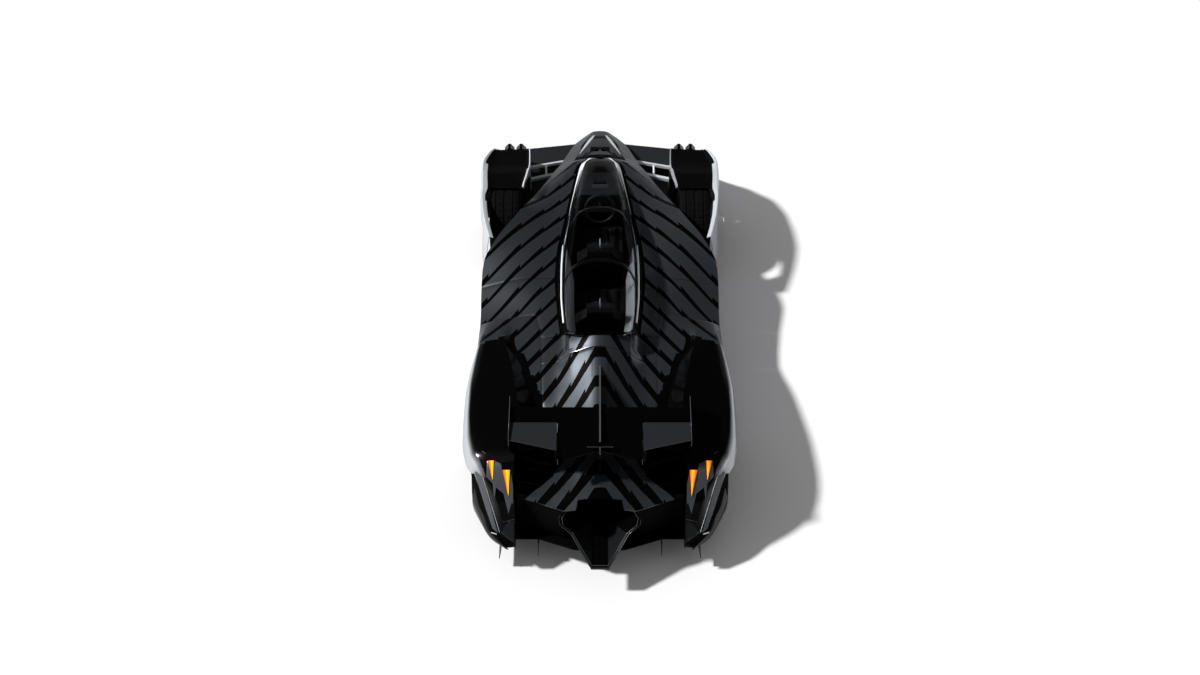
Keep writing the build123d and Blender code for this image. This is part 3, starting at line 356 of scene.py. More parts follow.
# %% Glass
GLASS_DARK, GLASS_LIGHT = (0.60, 0.62, 0.65, 1.0), (0.64, 0.66, 0.69, 1.0)
SHADOW_LET_THROUGH = 0.50
glass, t, shader, place = material("smoked_glass")
t.put(shader.inputs["Base Color"], t.mix(t.noise(place, 3.0, 2.0), GLASS_DARK, GLASS_LIGHT))
shader.inputs["Roughness"].default_value = 0.0
shader.inputs["Transmission Weight"].default_value = 1.0
shader.inputs["IOR"].default_value = 1.05
shadow_ray = t.node("ShaderNodeLightPath").outputs["Is Shadow Ray"]
t.put(shader.inputs["Alpha"], t.sub(1.0, t.mul(shadow_ray, SHADOW_LET_THROUGH)))
print("glass index:", round(shader.inputs["IOR"].default_value, 3))

# %% [markdown]
# ## Rails
# The shape of the body is held by a few long rails, each sampled at a handful of stations along
# the car. The stations and heights are the frame's own, in millimetres, so the fine skins drawn
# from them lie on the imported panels. A curve through a column keeps its hills where they are,
# where a plain spline would overshoot between them.

# %% Rail tables
MM = 0.001
# Upper body, half section. Columns: y, crown z, canopy base x z, mid x z, edge x z.
BODY = [
    (-2365, 300, 20, 299, 45, 297, 71, 288),
    (-2160, 375, 60, 373, 140, 360, 220, 325),
    (-1920, 455, 90, 450, 190, 428, 304, 378),
    (-1800, 492, 100, 486, 225, 456, 344, 405),
    (-1690, 492, 165, 500, 268, 482, 390, 434),
    (-1488, 520, 196, 536, 325, 524, 466, 482),
    (-1230, 540, 228, 568, 378, 566, 560, 566),
    (-1100, 550, 243, 582, 405, 590, 604, 622),
    (-943, 560, 258, 596, 450, 620, 669, 674),
    (-840, 568, 269, 604, 480, 632, 724, 677),
    (-690, 580, 284, 614, 540, 646, 818, 665),
    (-568, 590, 297, 622, 580, 648, 882, 638),
    (-467, 600, 303, 628, 600, 645, 932, 600),
    (-340, 606, 306, 636, 615, 641, 949, 562),
    (-200, 610, 309, 642, 625, 636, 951, 536),
    (121, 630, 306, 660, 520, 640, 945, 512),
    (470, 662, 281, 702, 456, 669, 953, 520),
    (760, 690, 262, 742, 443, 690, 960, 520),
]
# Canopy bubble. Columns: y, crown z, crown shoulder x z.
CANOPY = [
    (-1800, 494, 40, 493),
    (-1690, 556, 90, 545),
    (-1488, 640, 118, 626),
    (-1230, 734, 146, 716),
    (-943, 826, 172, 806),
    (-568, 922, 200, 900),
    (-210, 974, 216, 950),
    (121, 988, 216, 964),
    (450, 964, 204, 942),
    (640, 936, 192, 918),
    (700, 926, 188, 908),
]
# Engine cover. Columns: y, crown z, spine edge x z, valley x z, foot x z.
COVER = [
    (470, 961, 251, 844, 281, 702, 456, 669),
    (640, 936, 238, 836, 276, 722, 447, 682),
    (760, 900, 228, 812, 320, 722, 443, 690),
    (999, 838, 190, 760, 325, 694, 440, 672),
    (1290, 762, 160, 712, 300, 652, 412, 610),
    (1560, 708, 140, 680, 240, 628, 345, 560),
    (1750, 682, 140, 664, 230, 622, 340, 575),
    (1960, 660, 160, 642, 330, 606, 560, 580),
    (2110, 640, 176, 620, 380, 590, 640, 560),
]
# Rear fender. Columns: y, then x z of foot, crest, outer top, upper flank, side,
# low flank and sill.
FENDER = [
    (200, 640, 622, 760, 596, 880, 560, 925, 536, 947, 508, 930, 300, 905, 92),
    (450, 705, 628, 738, 662, 922, 622, 948, 580, 958, 520, 942, 300, 905, 92),
    (761, 598, 668, 684, 742, 952, 664, 988, 618, 1000, 545, 975, 300, 915, 92),
    (999, 530, 664, 645, 782, 968, 692, 1006, 640, 1021, 556, 992, 300, 925, 92),
    (1213, 505, 600, 617, 800, 966, 714, 1006, 660, 1025, 560, 1000, 300, 930, 92),
    (1450, 596, 440, 616, 806, 944, 730, 998, 672, 1024, 548, 1000, 300, 935, 92),
    (1640, 606, 330, 620, 786, 902, 722, 964, 664, 1006, 510, 992, 300, 940, 120),
    (1750, 610, 250, 624, 742, 858, 684, 925, 610, 978, 470, 970, 290, 925, 140),
    (1857, 612, 240, 627, 672, 806, 610, 880, 520, 934, 425, 926, 285, 880, 160),
    (1960, 612, 255, 622, 560, 752, 505, 820, 440, 882, 372, 876, 280, 840, 190),
    (2075, 612, 268, 618, 410, 705, 378, 765, 350, 816, 322, 812, 268, 780, 215),
    (2173, 614, 262, 618, 275, 640, 270, 668, 266, 690, 262, 688, 250, 670, 240),
]
# Front pod, x from the tyre's middle plane. Columns: y, then x z of inner foot, inner rim,
# dish inner, dish outer, outer rim, flank and foot.
POD = [
    (-2080, -90, 92, -85, 150, -70, 151, 50, 151, 66, 148, 76, 130, 73, 92),
    (-1990, -150, 92, -145, 330, -125, 330, 60, 325, 78, 316, 105, 220, 96, 92),
    (-1930, -175, 92, -170, 450, -145, 446, 62, 436, 88, 440, 130, 260, 118, 92),
    (-1860, -187, 92, -180, 550, -150, 540, 70, 528, 95, 532, 150, 290, 140, 92),
    (-1800, -192, 92, -188, 602, -156, 580, 90, 570, 125, 594, 180, 310, 162, 92),
    (-1720, -196, 300, -194, 618, -162, 594, 112, 586, 165, 616, 200, 325, 182, 92),
    (-1560, -200, 575, -198, 652, -165, 628, 140, 622, 206, 648, 220, 330, 202, 92),
    (-1360, -184, 664, -180, 702, -150, 690, 135, 690, 202, 694, 223, 330, 207, 92),
    (-1190, -160, 700, -156, 726, -130, 704, 125, 704, 195, 712, 222, 330, 206, 92),
    (-1100, -160, 700, -156, 726, -130, 704, 150, 698, 191, 706, 220, 330, 204, 92),
    (-943, -160, 700, -156, 726, -130, 704, 138, 680, 176, 688, 210, 330, 195, 92),
    (-790, -160, 700, -156, 726, -130, 704, 112, 664, 148, 671, 188, 330, 172, 92),
    (-660, -160, 700, -156, 726, -130, 704, 80, 651, 115, 658, 155, 325, 142, 92),
]


def track(rows, column, y):
    """Smooth curve through one column of a table, in metres; y is in metres too."""
    ys = [r[0] * MM for r in rows]
    vs = [r[column] * MM for r in rows]
    if y <= ys[0]:
        return vs[0]
    if y >= ys[-1]:
        return vs[-1]
    k = max(i for i in range(len(ys) - 1) if ys[i] <= y)
    slopes = [(vs[i + 1] - vs[i]) / (ys[i + 1] - ys[i]) for i in range(len(ys) - 1)]

    def tangent(i):
        if i in (0, len(slopes)):
            return slopes[min(i, len(slopes) - 1)]
        a, b = slopes[i - 1], slopes[i]
        return 0.0 if a * b <= 0 else 2 * a * b / (a + b)

    h = ys[k + 1] - ys[k]
    return hermite((y - ys[k]) / h, vs[k], tangent(k) * h, vs[k + 1], tangent(k + 1) * h)


def hermite(s, a, lead, b, tail):
    """Point at share s of the cubic from a to b with the tangents lead and tail."""
    return ((2 * s**3 - 3 * s**2 + 1) * a + (s**3 - 2 * s**2 + s) * lead
            + (3 * s**2 - 2 * s**3) * b + (s**3 - s**2) * tail)


def at(rows, column, y):
    """(x, z) of the rail in two neighbouring columns."""
    return Vector((track(rows, column, y), track(rows, column + 1, y)))


print("rails:", len(BODY), len(CANOPY), len(COVER), len(FENDER), len(POD), "stations")

# %% [markdown]
# ## Curves and grids
# A skin is a grid: many sections along the car, each a polyline softened between its creases. It
# could be sculpted or subdivided from a cage, but a grid keeps its points on the rails.


# %% Curve and grid tools
def soften(points, creases=(), parts=4):
    """Curve through the points that keeps corners only at the creases."""
    out = [points[0]]
    last = len(points) - 1
    for i in range(last):
        a, b = points[i], points[i + 1]
        before = a - (b - a) if i == 0 or i in creases else points[i - 1]
        after = b + (b - a) if i + 1 == last or i + 1 in creases else points[i + 2]
        lead, tail = (b - before) * 0.5, (after - a) * 0.5
        span = (b - a).length
        lead = lead.normalized() * min(lead.length, span)
        tail = tail.normalized() * min(tail.length, span)
        out += [hermite(j / parts, a, lead, b, tail) for j in range(1, parts + 1)]
    return out


def spread(y0, y1, step=0.03):
    """Stations from y0 to y1, about a step apart."""
    count = max(1, round((y1 - y0) / step))
    return [y0 + (y1 - y0) * i / count for i in range(count + 1)]


def sheet(bm, rows, flip=False):
    """Quads between neighbouring rows of vertices."""
    for near, far in zip(rows, rows[1:]):
        for i in range(len(near) - 1):
            loop = (near[i], near[i + 1], far[i + 1], far[i])
            bm.faces.new(loop[::-1] if flip else loop)


def shell(bm, rings, caps=False):
    """Quads from each closed ring of vertices to the next, with flat ends if wanted."""
    for low, high in zip(rings, rings[1:]):
        for i in range(len(low)):
            j = (i + 1) % len(low)
            bm.faces.new((low[i], low[j], high[j], high[i]))
    if caps:
        bm.faces.new(rings[0][::-1])
        bm.faces.new(rings[-1])


def grid(bm, section, ys):
    """Adds the quads of one skin to bm."""
    sheet(bm, [[bm.verts.new((p[0], y, p[1])) for p in section(y)] for y in ys])


def both_sides(bm):
    """Adds the mirror image of all that is in bm."""
    copy = bmesh.ops.duplicate(bm, geom=list(bm.verts) + list(bm.edges) + list(bm.faces))["geom"]
    bmesh.ops.scale(bm, vec=(-1, 1, 1), verts=[g for g in copy if isinstance(g, bmesh.types.BMVert)])
    bmesh.ops.reverse_faces(bm, faces=[g for g in copy if isinstance(g, bmesh.types.BMFace)])


def height_over(line, x):
    """Height at x of a polyline of (x, z) points; level past its ends."""
    for a, b in zip(line, line[1:]):
        if min(a.x, b.x) - 1e-6 <= x <= max(a.x, b.x) + 1e-6 and abs(b.x - a.x) > 1e-6:
            return a.y + (b.y - a.y) * (x - a.x) / (b.x - a.x)
    return line[-1].y if x > line[-1].x else line[0].y


def between(rows, y):
    """Value at y in a table of (y, value); level past its ends."""
    for (ya, va), (yb, vb) in zip(rows, rows[1:]):
        if ya <= y <= yb:
            return va + (vb - va) * (y - ya) / (yb - ya)
    return rows[-1][1] if y > rows[-1][0] else rows[0][1]


print("stations of a metre:", len(spread(0.0, 1.0)))

# %% [markdown]
# ## Pieces with a thickness
# A pressed panel has a rim that catches light. A flat mesh has none, so each skin gets a real
# thickness and a small rolled edge, and shut lines read as gaps between panels. Modifiers do
# both, and leave the grid itself easy to change.


# %% Piece tools
def finish_mesh(name, bm, finish, mirror=False):
    """Object from bm; mirror flips it to the other side of the car."""
    bmesh.ops.remove_doubles(bm, verts=bm.verts, dist=0.0004)
    if mirror:
        bmesh.ops.scale(bm, vec=(-1, 1, 1), verts=bm.verts)
        bmesh.ops.reverse_faces(bm, faces=bm.faces)
    for face in bm.faces:
        face.smooth = True
    mesh = bpy.data.meshes.new(name)
    bm.to_mesh(mesh)
    bm.free()
    mesh.materials.append(finish)
    obj = bpy.data.objects.new(name, mesh)
    bpy.context.scene.collection.objects.link(obj)
    return obj


def smooth_by_angle(obj, degrees=32.0):
    """Marks sharp edges of the base mesh by angle."""
    bm = bmesh.new()
    bm.from_mesh(obj.data)
    for edge in bm.edges:
        if len(edge.link_faces) == 2:
            edge.smooth = edge.calc_face_angle(0.0) < math.radians(degrees)
    bm.to_mesh(obj.data)
    bm.free()


def roll_edge(obj, width, degrees):
    """Small round on every edge sharper than an angle."""
    roll = obj.modifiers.new("edge", "BEVEL")
    roll.width = width
    roll.segments = 2
    roll.limit_method = "ANGLE"
    roll.angle_limit = math.radians(degrees)


def thicken(obj, depth, edge=0.0025):
    """Panel thickness inwards, then a small rolled edge."""
    solid = obj.modifiers.new("thickness", "SOLIDIFY")
    solid.thickness = depth
    solid.offset = -1.0
    solid.use_even_offset = True
    roll_edge(obj, edge, 38)
    smooth_by_angle(obj)
    return obj


def panel(name, bm, finish, depth, edge=0.0025, body="car", mirror=False):
    """Thickened piece from bm that moves with one body."""
    obj = thicken(finish_mesh(name, bm, finish, mirror), depth, edge)
    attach(obj, body)
    print(name, len(obj.data.polygons), "faces")
    return obj


def dress(obj, finishes, choose):
    """Gives each face one of the finishes; choose takes the face and returns its number."""
    obj.data.materials.clear()
    for finish in finishes:
        obj.data.materials.append(finish)
    for face in obj.data.polygons:
        face.material_index = choose(face)


SKIN = 0.007
print("skin thickness:", SKIN)

# %% [markdown]
# ## Front quarters
# Nose flanks, front quarters and middle body share one family of sections. The shoulder edge is a
# true crease; inboard of it the skin is softly crowned, and outboard it drops to the sill. Behind
# the front wheel a wall joins the narrow flank to the full-width one.

# %% Front quarters
CANOPY_FRONT, CANOPY_SILL, COVER_FRONT = -1.800, 0.470, 0.760
WELL_WALL, MID_SEAM, CLAM, DECK, TAIL = -0.770, -0.200, 0.200, 1.560, 2.173
SILL = 0.0913
SHUT = 0.0015  # half a shut line
WELL_X = 0.488  # inner wall of the front wheel well
LIP, LIP_REACH, LIP_SLOPE = 0.010, 0.057, 0.45  # underside of the shoulder beside the well
WAIST_Z, WAIST_IN = 0.330, 0.024
FLANK_WAIST, FLANK_SILL = Vector((0.928, 0.300)), Vector((0.905, SILL))
MARGIN, MARGIN_END = 0.030, 0.44  # black beside the canopy opening, up to this y


def base_at(y):
    return at(BODY, 2, y) if y <= CANOPY_SILL else at(COVER, 4, y)


def mid_at(y):
    return at(BODY, 4, y) if y <= CANOPY_SILL else at(COVER, 6, y)


def top_section(y):
    return soften([base_at(y), mid_at(y), at(BODY, 6, y)], parts=6)


def front_side(y):
    """Flank beside the front wheel: a short undercut, then down to the sill."""
    edge = at(BODY, 6, y)
    low = min(edge.x - WAIST_IN, WELL_X)
    under_x = min(edge.x - LIP, WELL_X + LIP_REACH)
    under_z = edge.y - LIP - LIP_SLOPE * (edge.x - under_x - LIP)
    return [edge, Vector((under_x, under_z)), Vector((low + 0.006, min(WAIST_Z, under_z - 4 * LIP))),
            Vector((low - 2 * LIP, SILL))]


def rear_side(y):
    edge = at(BODY, 6, y)
    drop = Vector((edge.x + 0.004, edge.y - 0.070))
    return soften([edge, drop, FLANK_WAIST, FLANK_SILL], parts=5)


def margin_zone(face):
    """Black margin beside the canopy opening, livery elsewhere."""
    x, y = abs(face.center.x), face.center.y
    return 1 if y < MARGIN_END and x < base_at(y).x + MARGIN else 0


front_ys = spread(CANOPY_FRONT + SHUT, WELL_WALL)
rear_ys = spread(WELL_WALL, MID_SEAM - SHUT)
for side in ("left", "right"):
    bm = bmesh.new()
    grid(bm, top_section, front_ys + rear_ys[1:])
    grid(bm, front_side, front_ys)
    grid(bm, rear_side, rear_ys)
    wall = front_side(WELL_WALL)[::-1] + rear_side(WELL_WALL)[1:]
    bm.faces.new([bm.verts.new((p[0], WELL_WALL, p[1])) for p in wall][::-1])
    quarter = panel(f"front_quarter_{side}", bm, livery_paint, SKIN, mirror=side == "right")
    dress(quarter, (livery_paint, gloss_black), margin_zone)
    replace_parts(quarter, f"front_body_{side}")

# %% [markdown]
# ## Middle body and engine cover
# The middle body carries the doors' flanks and a bridge behind the canopy; the engine cover goes
# on from it with the same spine and two valleys. The bridge begins at the canopy's raked edge.
# Cutting it there would leave slivers, so each column of the grid starts on that edge.


# %% Middle body and engine cover
RAKE_Y, RAKE_Z, RAKE_RUN = 0.675, 0.930, 0.913  # a point of the canopy's rear plane, and its run
LEAN_PARTS = 14


def bridge(y):
    half = [at(COVER, 2, y), at(COVER, 4, y), mid_at(y)]
    crown = Vector((0.0, track(COVER, 1, y)))
    points = [Vector((-p.x, p.y)) for p in half[::-1]] + [crown] + half
    return soften(points, creases=(2, 4), parts=5)


def raked(y_end, z):
    """y of the canopy's raked rear edge at height z."""
    return RAKE_Y + y_end - (RAKE_Z - z) * RAKE_RUN


def settled(y, rule):
    """y after a rule that moves it has been followed until it rests."""
    for _ in range(12):
        y = rule(y)
    return y


def leaning_rows(bm, section, starts, stops, steps):
    """Rows of vertices whose columns run from their own start to their own stop."""
    rows = []
    for k in steps:
        row = []
        for i, (start, stop) in enumerate(zip(starts, stops)):
            y = start + (stop - start) * k / LEAN_PARTS
            p = section(y)[i]
            row.append(bm.verts.new((p.x, y, p.y)))
        rows.append(row)
    return rows


bm = bmesh.new()
flank_ys = spread(MID_SEAM + SHUT, CLAM - SHUT)
grid(bm, top_section, flank_ys)
grid(bm, rear_side, flank_ys)
grid(bm, lambda y: top_section(y)[:7], spread(CLAM - SHUT, CANOPY_SILL))
both_sides(bm)
stop = COVER_FRONT - SHUT
starts = [settled(CANOPY_SILL, lambda y: max(CANOPY_SILL, raked(SHUT, bridge(y)[i].y)))
          for i in range(len(bridge(stop)))]
sheet(bm, leaning_rows(bm, bridge, starts, [stop] * len(starts), range(LEAN_PARTS + 1)))
middle = panel("middle_body", bm, livery_paint, SKIN)
dress(middle, (livery_paint, gloss_black), margin_zone)
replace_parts(middle, "mid_body")

bm = bmesh.new()
grid(bm, bridge, spread(COVER_FRONT + SHUT, DECK - SHUT))
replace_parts(panel("spine_cover", bm, livery_paint, SKIN), "engine_cover")

# %% [markdown]
# ## Wheel arches
# The arches are round openings with a flat roof where the fender is thin. They could be modelled
# into the grid, but its rows don't follow a circle. A boolean cut gives a clean edge, and it is
# made into the mesh at once, so the cutter can go.

# %% Wheel arch tools
REAR_WHEEL, FRONT_WHEEL = (1.480, 0.355), (-1.180, 0.340)  # y and radius
REAR_ARCH, FRONT_ARCH = (0.700, 1.100, 0.377, 0.590), (0.880, 1.100, 0.380, 0.560)
ARCH_POINTS = 96


def cut_away(obj, cutter):
    """Boolean cut, made into the mesh at once."""
    cut = obj.modifiers.new("cut", "BOOLEAN")
    cut.operation = "DIFFERENCE"
    cut.solver = "EXACT"
    cut.object = cutter
    bpy.context.view_layer.update()
    graph = bpy.context.evaluated_depsgraph_get()
    mesh = bpy.data.meshes.new_from_object(obj.evaluated_get(graph))
    obj.modifiers.clear()
    obj.data = mesh
    bpy.data.objects.remove(cutter)


def wheel_cutter(wheel, arch, turned):
    """Round cutter, cut flat at the ground and its roof; arch holds x limits, radius and roof."""
    x0, x1, radius, roof = arch
    if turned:
        x0, x1 = -x1, -x0
    bm = bmesh.new()
    ring = []
    for i in range(ARCH_POINTS):
        a = 2 * math.pi * i / ARCH_POINTS
        height = min(roof, max(0.0, wheel[1] + radius * math.sin(a)))
        ring.append((wheel[0] + radius * math.cos(a), height))
    shell(bm, [[bm.verts.new((x, y, z)) for y, z in ring] for x in (x0, x1)], caps=True)
    bmesh.ops.recalc_face_normals(bm, faces=bm.faces)
    mesh = bpy.data.meshes.new("cutter")
    bm.to_mesh(mesh)
    bm.free()
    obj = bpy.data.objects.new("cutter", mesh)
    bpy.context.scene.collection.objects.link(obj)
    return obj


def fairing(name, patches, finishes, zone, turned):
    """Skin over a wheel from one or more grids, with a finish for each zone."""
    bm = bmesh.new()
    for section, ys in patches:
        grid(bm, section, ys)
    obj = thicken(finish_mesh(name, bm, finishes[0], turned), SKIN)
    dress(obj, finishes, zone)
    return obj


print("wheels at y", REAR_WHEEL[0], FRONT_WHEEL[0])

# %% [markdown]
# ## Haunches
# The rear haunch rises from the body at its foot, crests, and falls to the flank in one long curve. It is
# livery in front, then a plain black blister with a pointed front, and a painted sheen of silver on the
# steep outer side. The zones are picked face by face, so their borders follow the grid.


# %% Haunches
BLEND_END = 1.213  # the haunch stands clear of the body behind this y
TIP_X, TIP_Y, TIP_SWEEP = 0.72, 0.42, 0.4  # pointed front of the black blister
INNER_X, INNER_SWEEP = 0.68, 0.38


def haunch(y):
    return soften([at(FENDER, k, y) for k in range(1, 15, 2)], creases=(1,), parts=4)


def haunch_front(y):
    line = soften([base_at(y), mid_at(y), at(FENDER, 1, y)], parts=6)[6:]
    return line[:-1] + haunch(y)


def haunch_zone(face):
    """Livery ahead of the pointed blister, plain black on it, black with a painted sheen of silver on the
    outer flank.
    """
    x, y = abs(face.center.x), face.center.y
    if y < TIP_Y + TIP_SWEEP * max(0.0, x - TIP_X) or x < INNER_X - INNER_SWEEP * (y - TIP_Y):
        return 0
    return 1 if x < track(FENDER, 5, y) - 0.01 else 2


for side in ("left", "right"):
    turned = side == "right"
    fender = fairing(
        f"haunch_{side}",
        [(haunch_front, spread(CLAM + SHUT, BLEND_END)), (haunch, spread(BLEND_END, TAIL, 0.02))],
        (livery_paint, gloss_black, haunch_sheen_black), haunch_zone, turned)
    cut_away(fender, wheel_cutter(REAR_WHEEL, REAR_ARCH, turned))
    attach(fender, "car")
    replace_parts(fender, f"rear_fender_{side}")
    print(fender.name, len(fender.data.polygons), "faces")

# %% [markdown]
# ## Front pods
# The front pod is a wheel fairing open at the back, with a dish on top in near-black painted shade for its
# recess, between bright rims of silver that is partly trim and partly a painted sheen.
# Its table is kept from the tyre's middle plane, so it follows the track. Its inner wall ends
# half way back, where the section goes on with the outer part alone.

# %% Front pods
FRONT_TRACK = 0.790
POD_NOSE, POD_LIP, POD_OPEN, POD_TAIL = -2.080, -2.045, -1.190, -0.660
RIM_BAND = 0.012
DISH_MIDDLE, DISH_LENGTH, OUTER_BAND = -1.75, 0.35, 0.55  # where the outer rim band is slimmest


def pod_points(y):
    return [at(POD, k, y) + Vector((FRONT_TRACK, 0.0)) for k in range(1, 15, 2)]


def pod_zone(face):
    """Dish and inner wall in near-black painted shade; rims, front lip and outer side silver, partly trim
    and partly painted sheen.
    """
    x, y, _ = face.center
    if y < POD_LIP:
        return 1
    inner = FRONT_TRACK + track(POD, 3, y) + RIM_BAND
    dish, rim = (FRONT_TRACK + track(POD, k, y) for k in (7, 9))
    band = OUTER_BAND * min(1.0, abs(y - DISH_MIDDLE) / DISH_LENGTH + 0.2)
    outer = rim - RIM_BAND - (rim - dish) * band
    return 0 if inner < abs(x) < outer and face.normal.z > -0.2 else 1


for side in ("left", "right"):
    turned = side == "right"
    pod = fairing(
        f"wheel_pod_{side}",
        [(lambda y: soften(pod_points(y), creases=(1, 2, 3)), spread(POD_NOSE, POD_OPEN, 0.02)),
         (lambda y: soften(pod_points(y)[3:]), spread(POD_OPEN, POD_TAIL, 0.02))],
        (shade_and_joint_black, trim_and_highlight_silver), pod_zone, turned)
    cut_away(pod, wheel_cutter(FRONT_WHEEL, FRONT_ARCH, turned))
    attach(pod, "car")
    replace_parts(pod, f"front_pod_{side}")
    print(pod.name, len(pod.data.polygons), "faces")

# %% [markdown]
# ## Canopy
# One smoked bubble in a slim frame. Its section is a low arch on two upright sides, and its rear
# edge leans back in a single plane. Rows at right angles to the car would meet that plane in
# steps, so behind a turning line the rows lean until they lie in it.


# %% Canopy
FRAME_IN, SHOULDER_SHARE, SIDE_BOW = 0.006, 0.8, 0.13
CROWN_BOW, CROWN_BOW_SHARE = 0.003, 0.03


def canopy_arch(y):
    base = base_at(y) - Vector((FRAME_IN, 0.0))
    crown = Vector((0.0, track(CANOPY, 1, y)))
    shoulder = at(CANOPY, 2, y)
    base.x = max(FRAME_IN, base.x)
    shoulder = Vector((min(shoulder.x, base.x * SHOULDER_SHARE), max(shoulder.y, base.y + 0.0005)))
    bow = (shoulder.y - base.y) * SIDE_BOW
    out = (base - shoulder).normalized()
    normal = Vector((-out.y, out.x))
    rise = Vector((0, 1)) * (CROWN_BOW + shoulder.x * CROWN_BOW_SHARE)
    arch = [crown]
    arch += [crown.lerp(shoulder, s) + rise * 4 * s * (1 - s) for s in (0.33, 0.66, 1.0)]
    arch += [shoulder.lerp(base, s) + normal * bow * 4 * s * (1 - s) for s in (0.2, 0.4, 0.6, 0.8, 1.0)]
    arch = soften(arch, parts=2)
    return [Vector((-p.x, p.y)) for p in arch[:0:-1]] + arch


def pane_arch(y):
    """The canopy's arch without its feet, which lie in the frame."""
    return canopy_arch(y)[2:-2]


PANE_FRONT, LEAN_FROM, PANE_INSET, PANE_DEPTH = -1.765, 0.30, 0.006, 0.005
ends = [settled(0.6, lambda y: raked(-PANE_INSET, pane_arch(y)[i].y)) for i in range(len(pane_arch(0.0)))]
bm = bmesh.new()
rows = [[bm.verts.new((p.x, y, p.y)) for p in pane_arch(y)] for y in spread(PANE_FRONT, LEAN_FROM, 0.02)]
rows += leaning_rows(bm, pane_arch, [LEAN_FROM] * len(ends), ends, range(1, LEAN_PARTS + 1))
sheet(bm, rows)
pane = panel("bubble", bm, glass, PANE_DEPTH, 0.001, body="canopy")
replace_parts(pane, "canopy_glass")

# %% [markdown]
# ## Tail quarters
# Each haunch ends in a dark quarter. Two spikes of light stand on a smoked plate, a scoop with a
# bright lip sits in front of them, and a grey blade runs down the outside beside a black groove.
# Paint alone would look flat at the edges. Thin plates are laid on the haunch skin instead: an
# outline is cut into small cells, and each corner is dropped to the skin's height.


# %% Tools to lay plates and beads
def haunch_height(x, y):
    """Height of the haunch skin above (x, y)."""
    return height_over(haunch(min(y, TAIL))[4:], x)


def lay_plate(name, outline, lift, depth, finish):
    """Thin plates over an outline [(x, y), ...] in millimetres, on both sides."""
    bm = bmesh.new()
    bm.faces.new([bm.verts.new((x * MM, y * MM, 0.0)) for x, y in outline])
    for axis in (0, 1):
        values = [p[axis] * MM for p in outline]
        for cut in spread(min(values), max(values), 0.012)[1:-1]:
            place, normal = [0.0, 0.0, 0.0], [0.0, 0.0, 0.0]
            place[axis], normal[axis] = cut, 1.0
            geometry = list(bm.verts) + list(bm.edges) + list(bm.faces)
            bmesh.ops.bisect_plane(bm, geom=geometry, plane_co=place, plane_no=normal)
    for vert in bm.verts:
        vert.co.z = haunch_height(vert.co.x, vert.co.y) + lift
    bmesh.ops.recalc_face_normals(bm, faces=bm.faces)
    if sum(f.normal.z for f in bm.faces) < 0:
        bmesh.ops.reverse_faces(bm, faces=bm.faces)
    both_sides(bm)
    return panel(name, bm, finish, depth, 0.0006)


def tube(name, lines, radius, finish, body="car", cyclic=False):
    """Round beads along polylines given in metres."""
    curve = bpy.data.curves.new(name, "CURVE")
    curve.dimensions = "3D"
    curve.bevel_depth = radius
    curve.bevel_resolution = 2
    for line in lines:
        spline = curve.splines.new("POLY")
        spline.points.add(len(line) - 1)
        for spot, co in zip(spline.points, line):
            spot.co = (*co, 1.0)
        spline.use_cyclic_u = cyclic
    curve.materials.append(finish)
    obj = bpy.data.objects.new(name, curve)
    bpy.context.scene.collection.objects.link(obj)
    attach(obj, body)
    print(name, len(lines), "beads")


def laid(path, height, lift, parts):
    """Points along a flat path, each at the height of the skin below it."""
    flat = [(xa + (xb - xa) * j / parts, ya + (yb - ya) * j / parts)
            for (xa, ya), (xb, yb) in zip(path, path[1:]) for j in range(parts)]
    return [(x, y, height(x, y) + lift) for x, y in flat + [path[-1]]]


def on_haunches(path):
    """The same line on both haunches, through points in millimetres."""
    left = laid([(x * MM, y * MM) for x, y in path], haunch_height, 0.001, 8)
    return [left, [(-x, y, z) for x, y, z in left]]


print("haunch height over the wheel:", round(haunch_height(0.80, REAR_WHEEL[0]), 3))

# %% [markdown]
# ## Quarter plates
# The plates stand a little apart in height, in the order in which they overlap: groove, blade,
# lamp plate. Bright beads finish the edge of the scoop and the foot of the blade.

# %% Quarter plates
smoked_grey = painted("smoked_grey", (0.050, 0.053, 0.058), 0.3, 0.4, 0.08)
facet_grey = painted("facet_grey", (0.006, 0.0065, 0.007), 0.3, 0.3, 0.08)
blade_grey = painted("blade_grey", (0.060, 0.064, 0.070), 0.3, 0.4, 0.08)
PLATES = (
    ("lamp_plates", smoked_grey, 0.0088, [
        (821, 1727), (771, 1730), (718, 1759), (710, 1803), (648, 1816), (630, 1895), (630, 1985),
        (639, 1972), (664, 2021), (700, 1922), (754, 1886), (767, 1936), (780, 1861), (826, 1818)]),
    ("tail_facets", facet_grey, 0.0012, [
        (662, 2056), (626, 2056), (626, 2154), (723, 2098), (690, 2070)]),
    ("side_grooves", shade_and_joint_black, 0.0015, [
        (944, 1741), (919, 1758), (790, 2057), (789, 2086), (886, 1915)]),
    ("side_blades", blade_grey, 0.0035, [
        (916, 1757), (904, 1757), (849, 1822), (745, 2094), (784, 2065)]),
)
for name, finish, lift, outline in PLATES:
    lay_plate(name, outline, lift, 0.0008, finish)
tube("quarter_beads", on_haunches([(853, 1808), (731, 2092)]), 0.0018, trim_and_highlight_silver)
tube("blade_feet", on_haunches([(795, 2083), (753, 2098)]), 0.004, trim_and_highlight_silver)
tube("scoop_lips", on_haunches([(889, 1742), (844, 1772)]) + on_haunches([(832, 1671), (859, 1650)]),
     0.0018, blade_grey)

# %% [markdown]
# ## Lamps
# Light comes through each spike as a run from deep orange at its edges to yellow down the
# middle. Real lights inside would be slow to render, so the material glows by itself. It works
# out its colour from the distance to the spike's centre line.

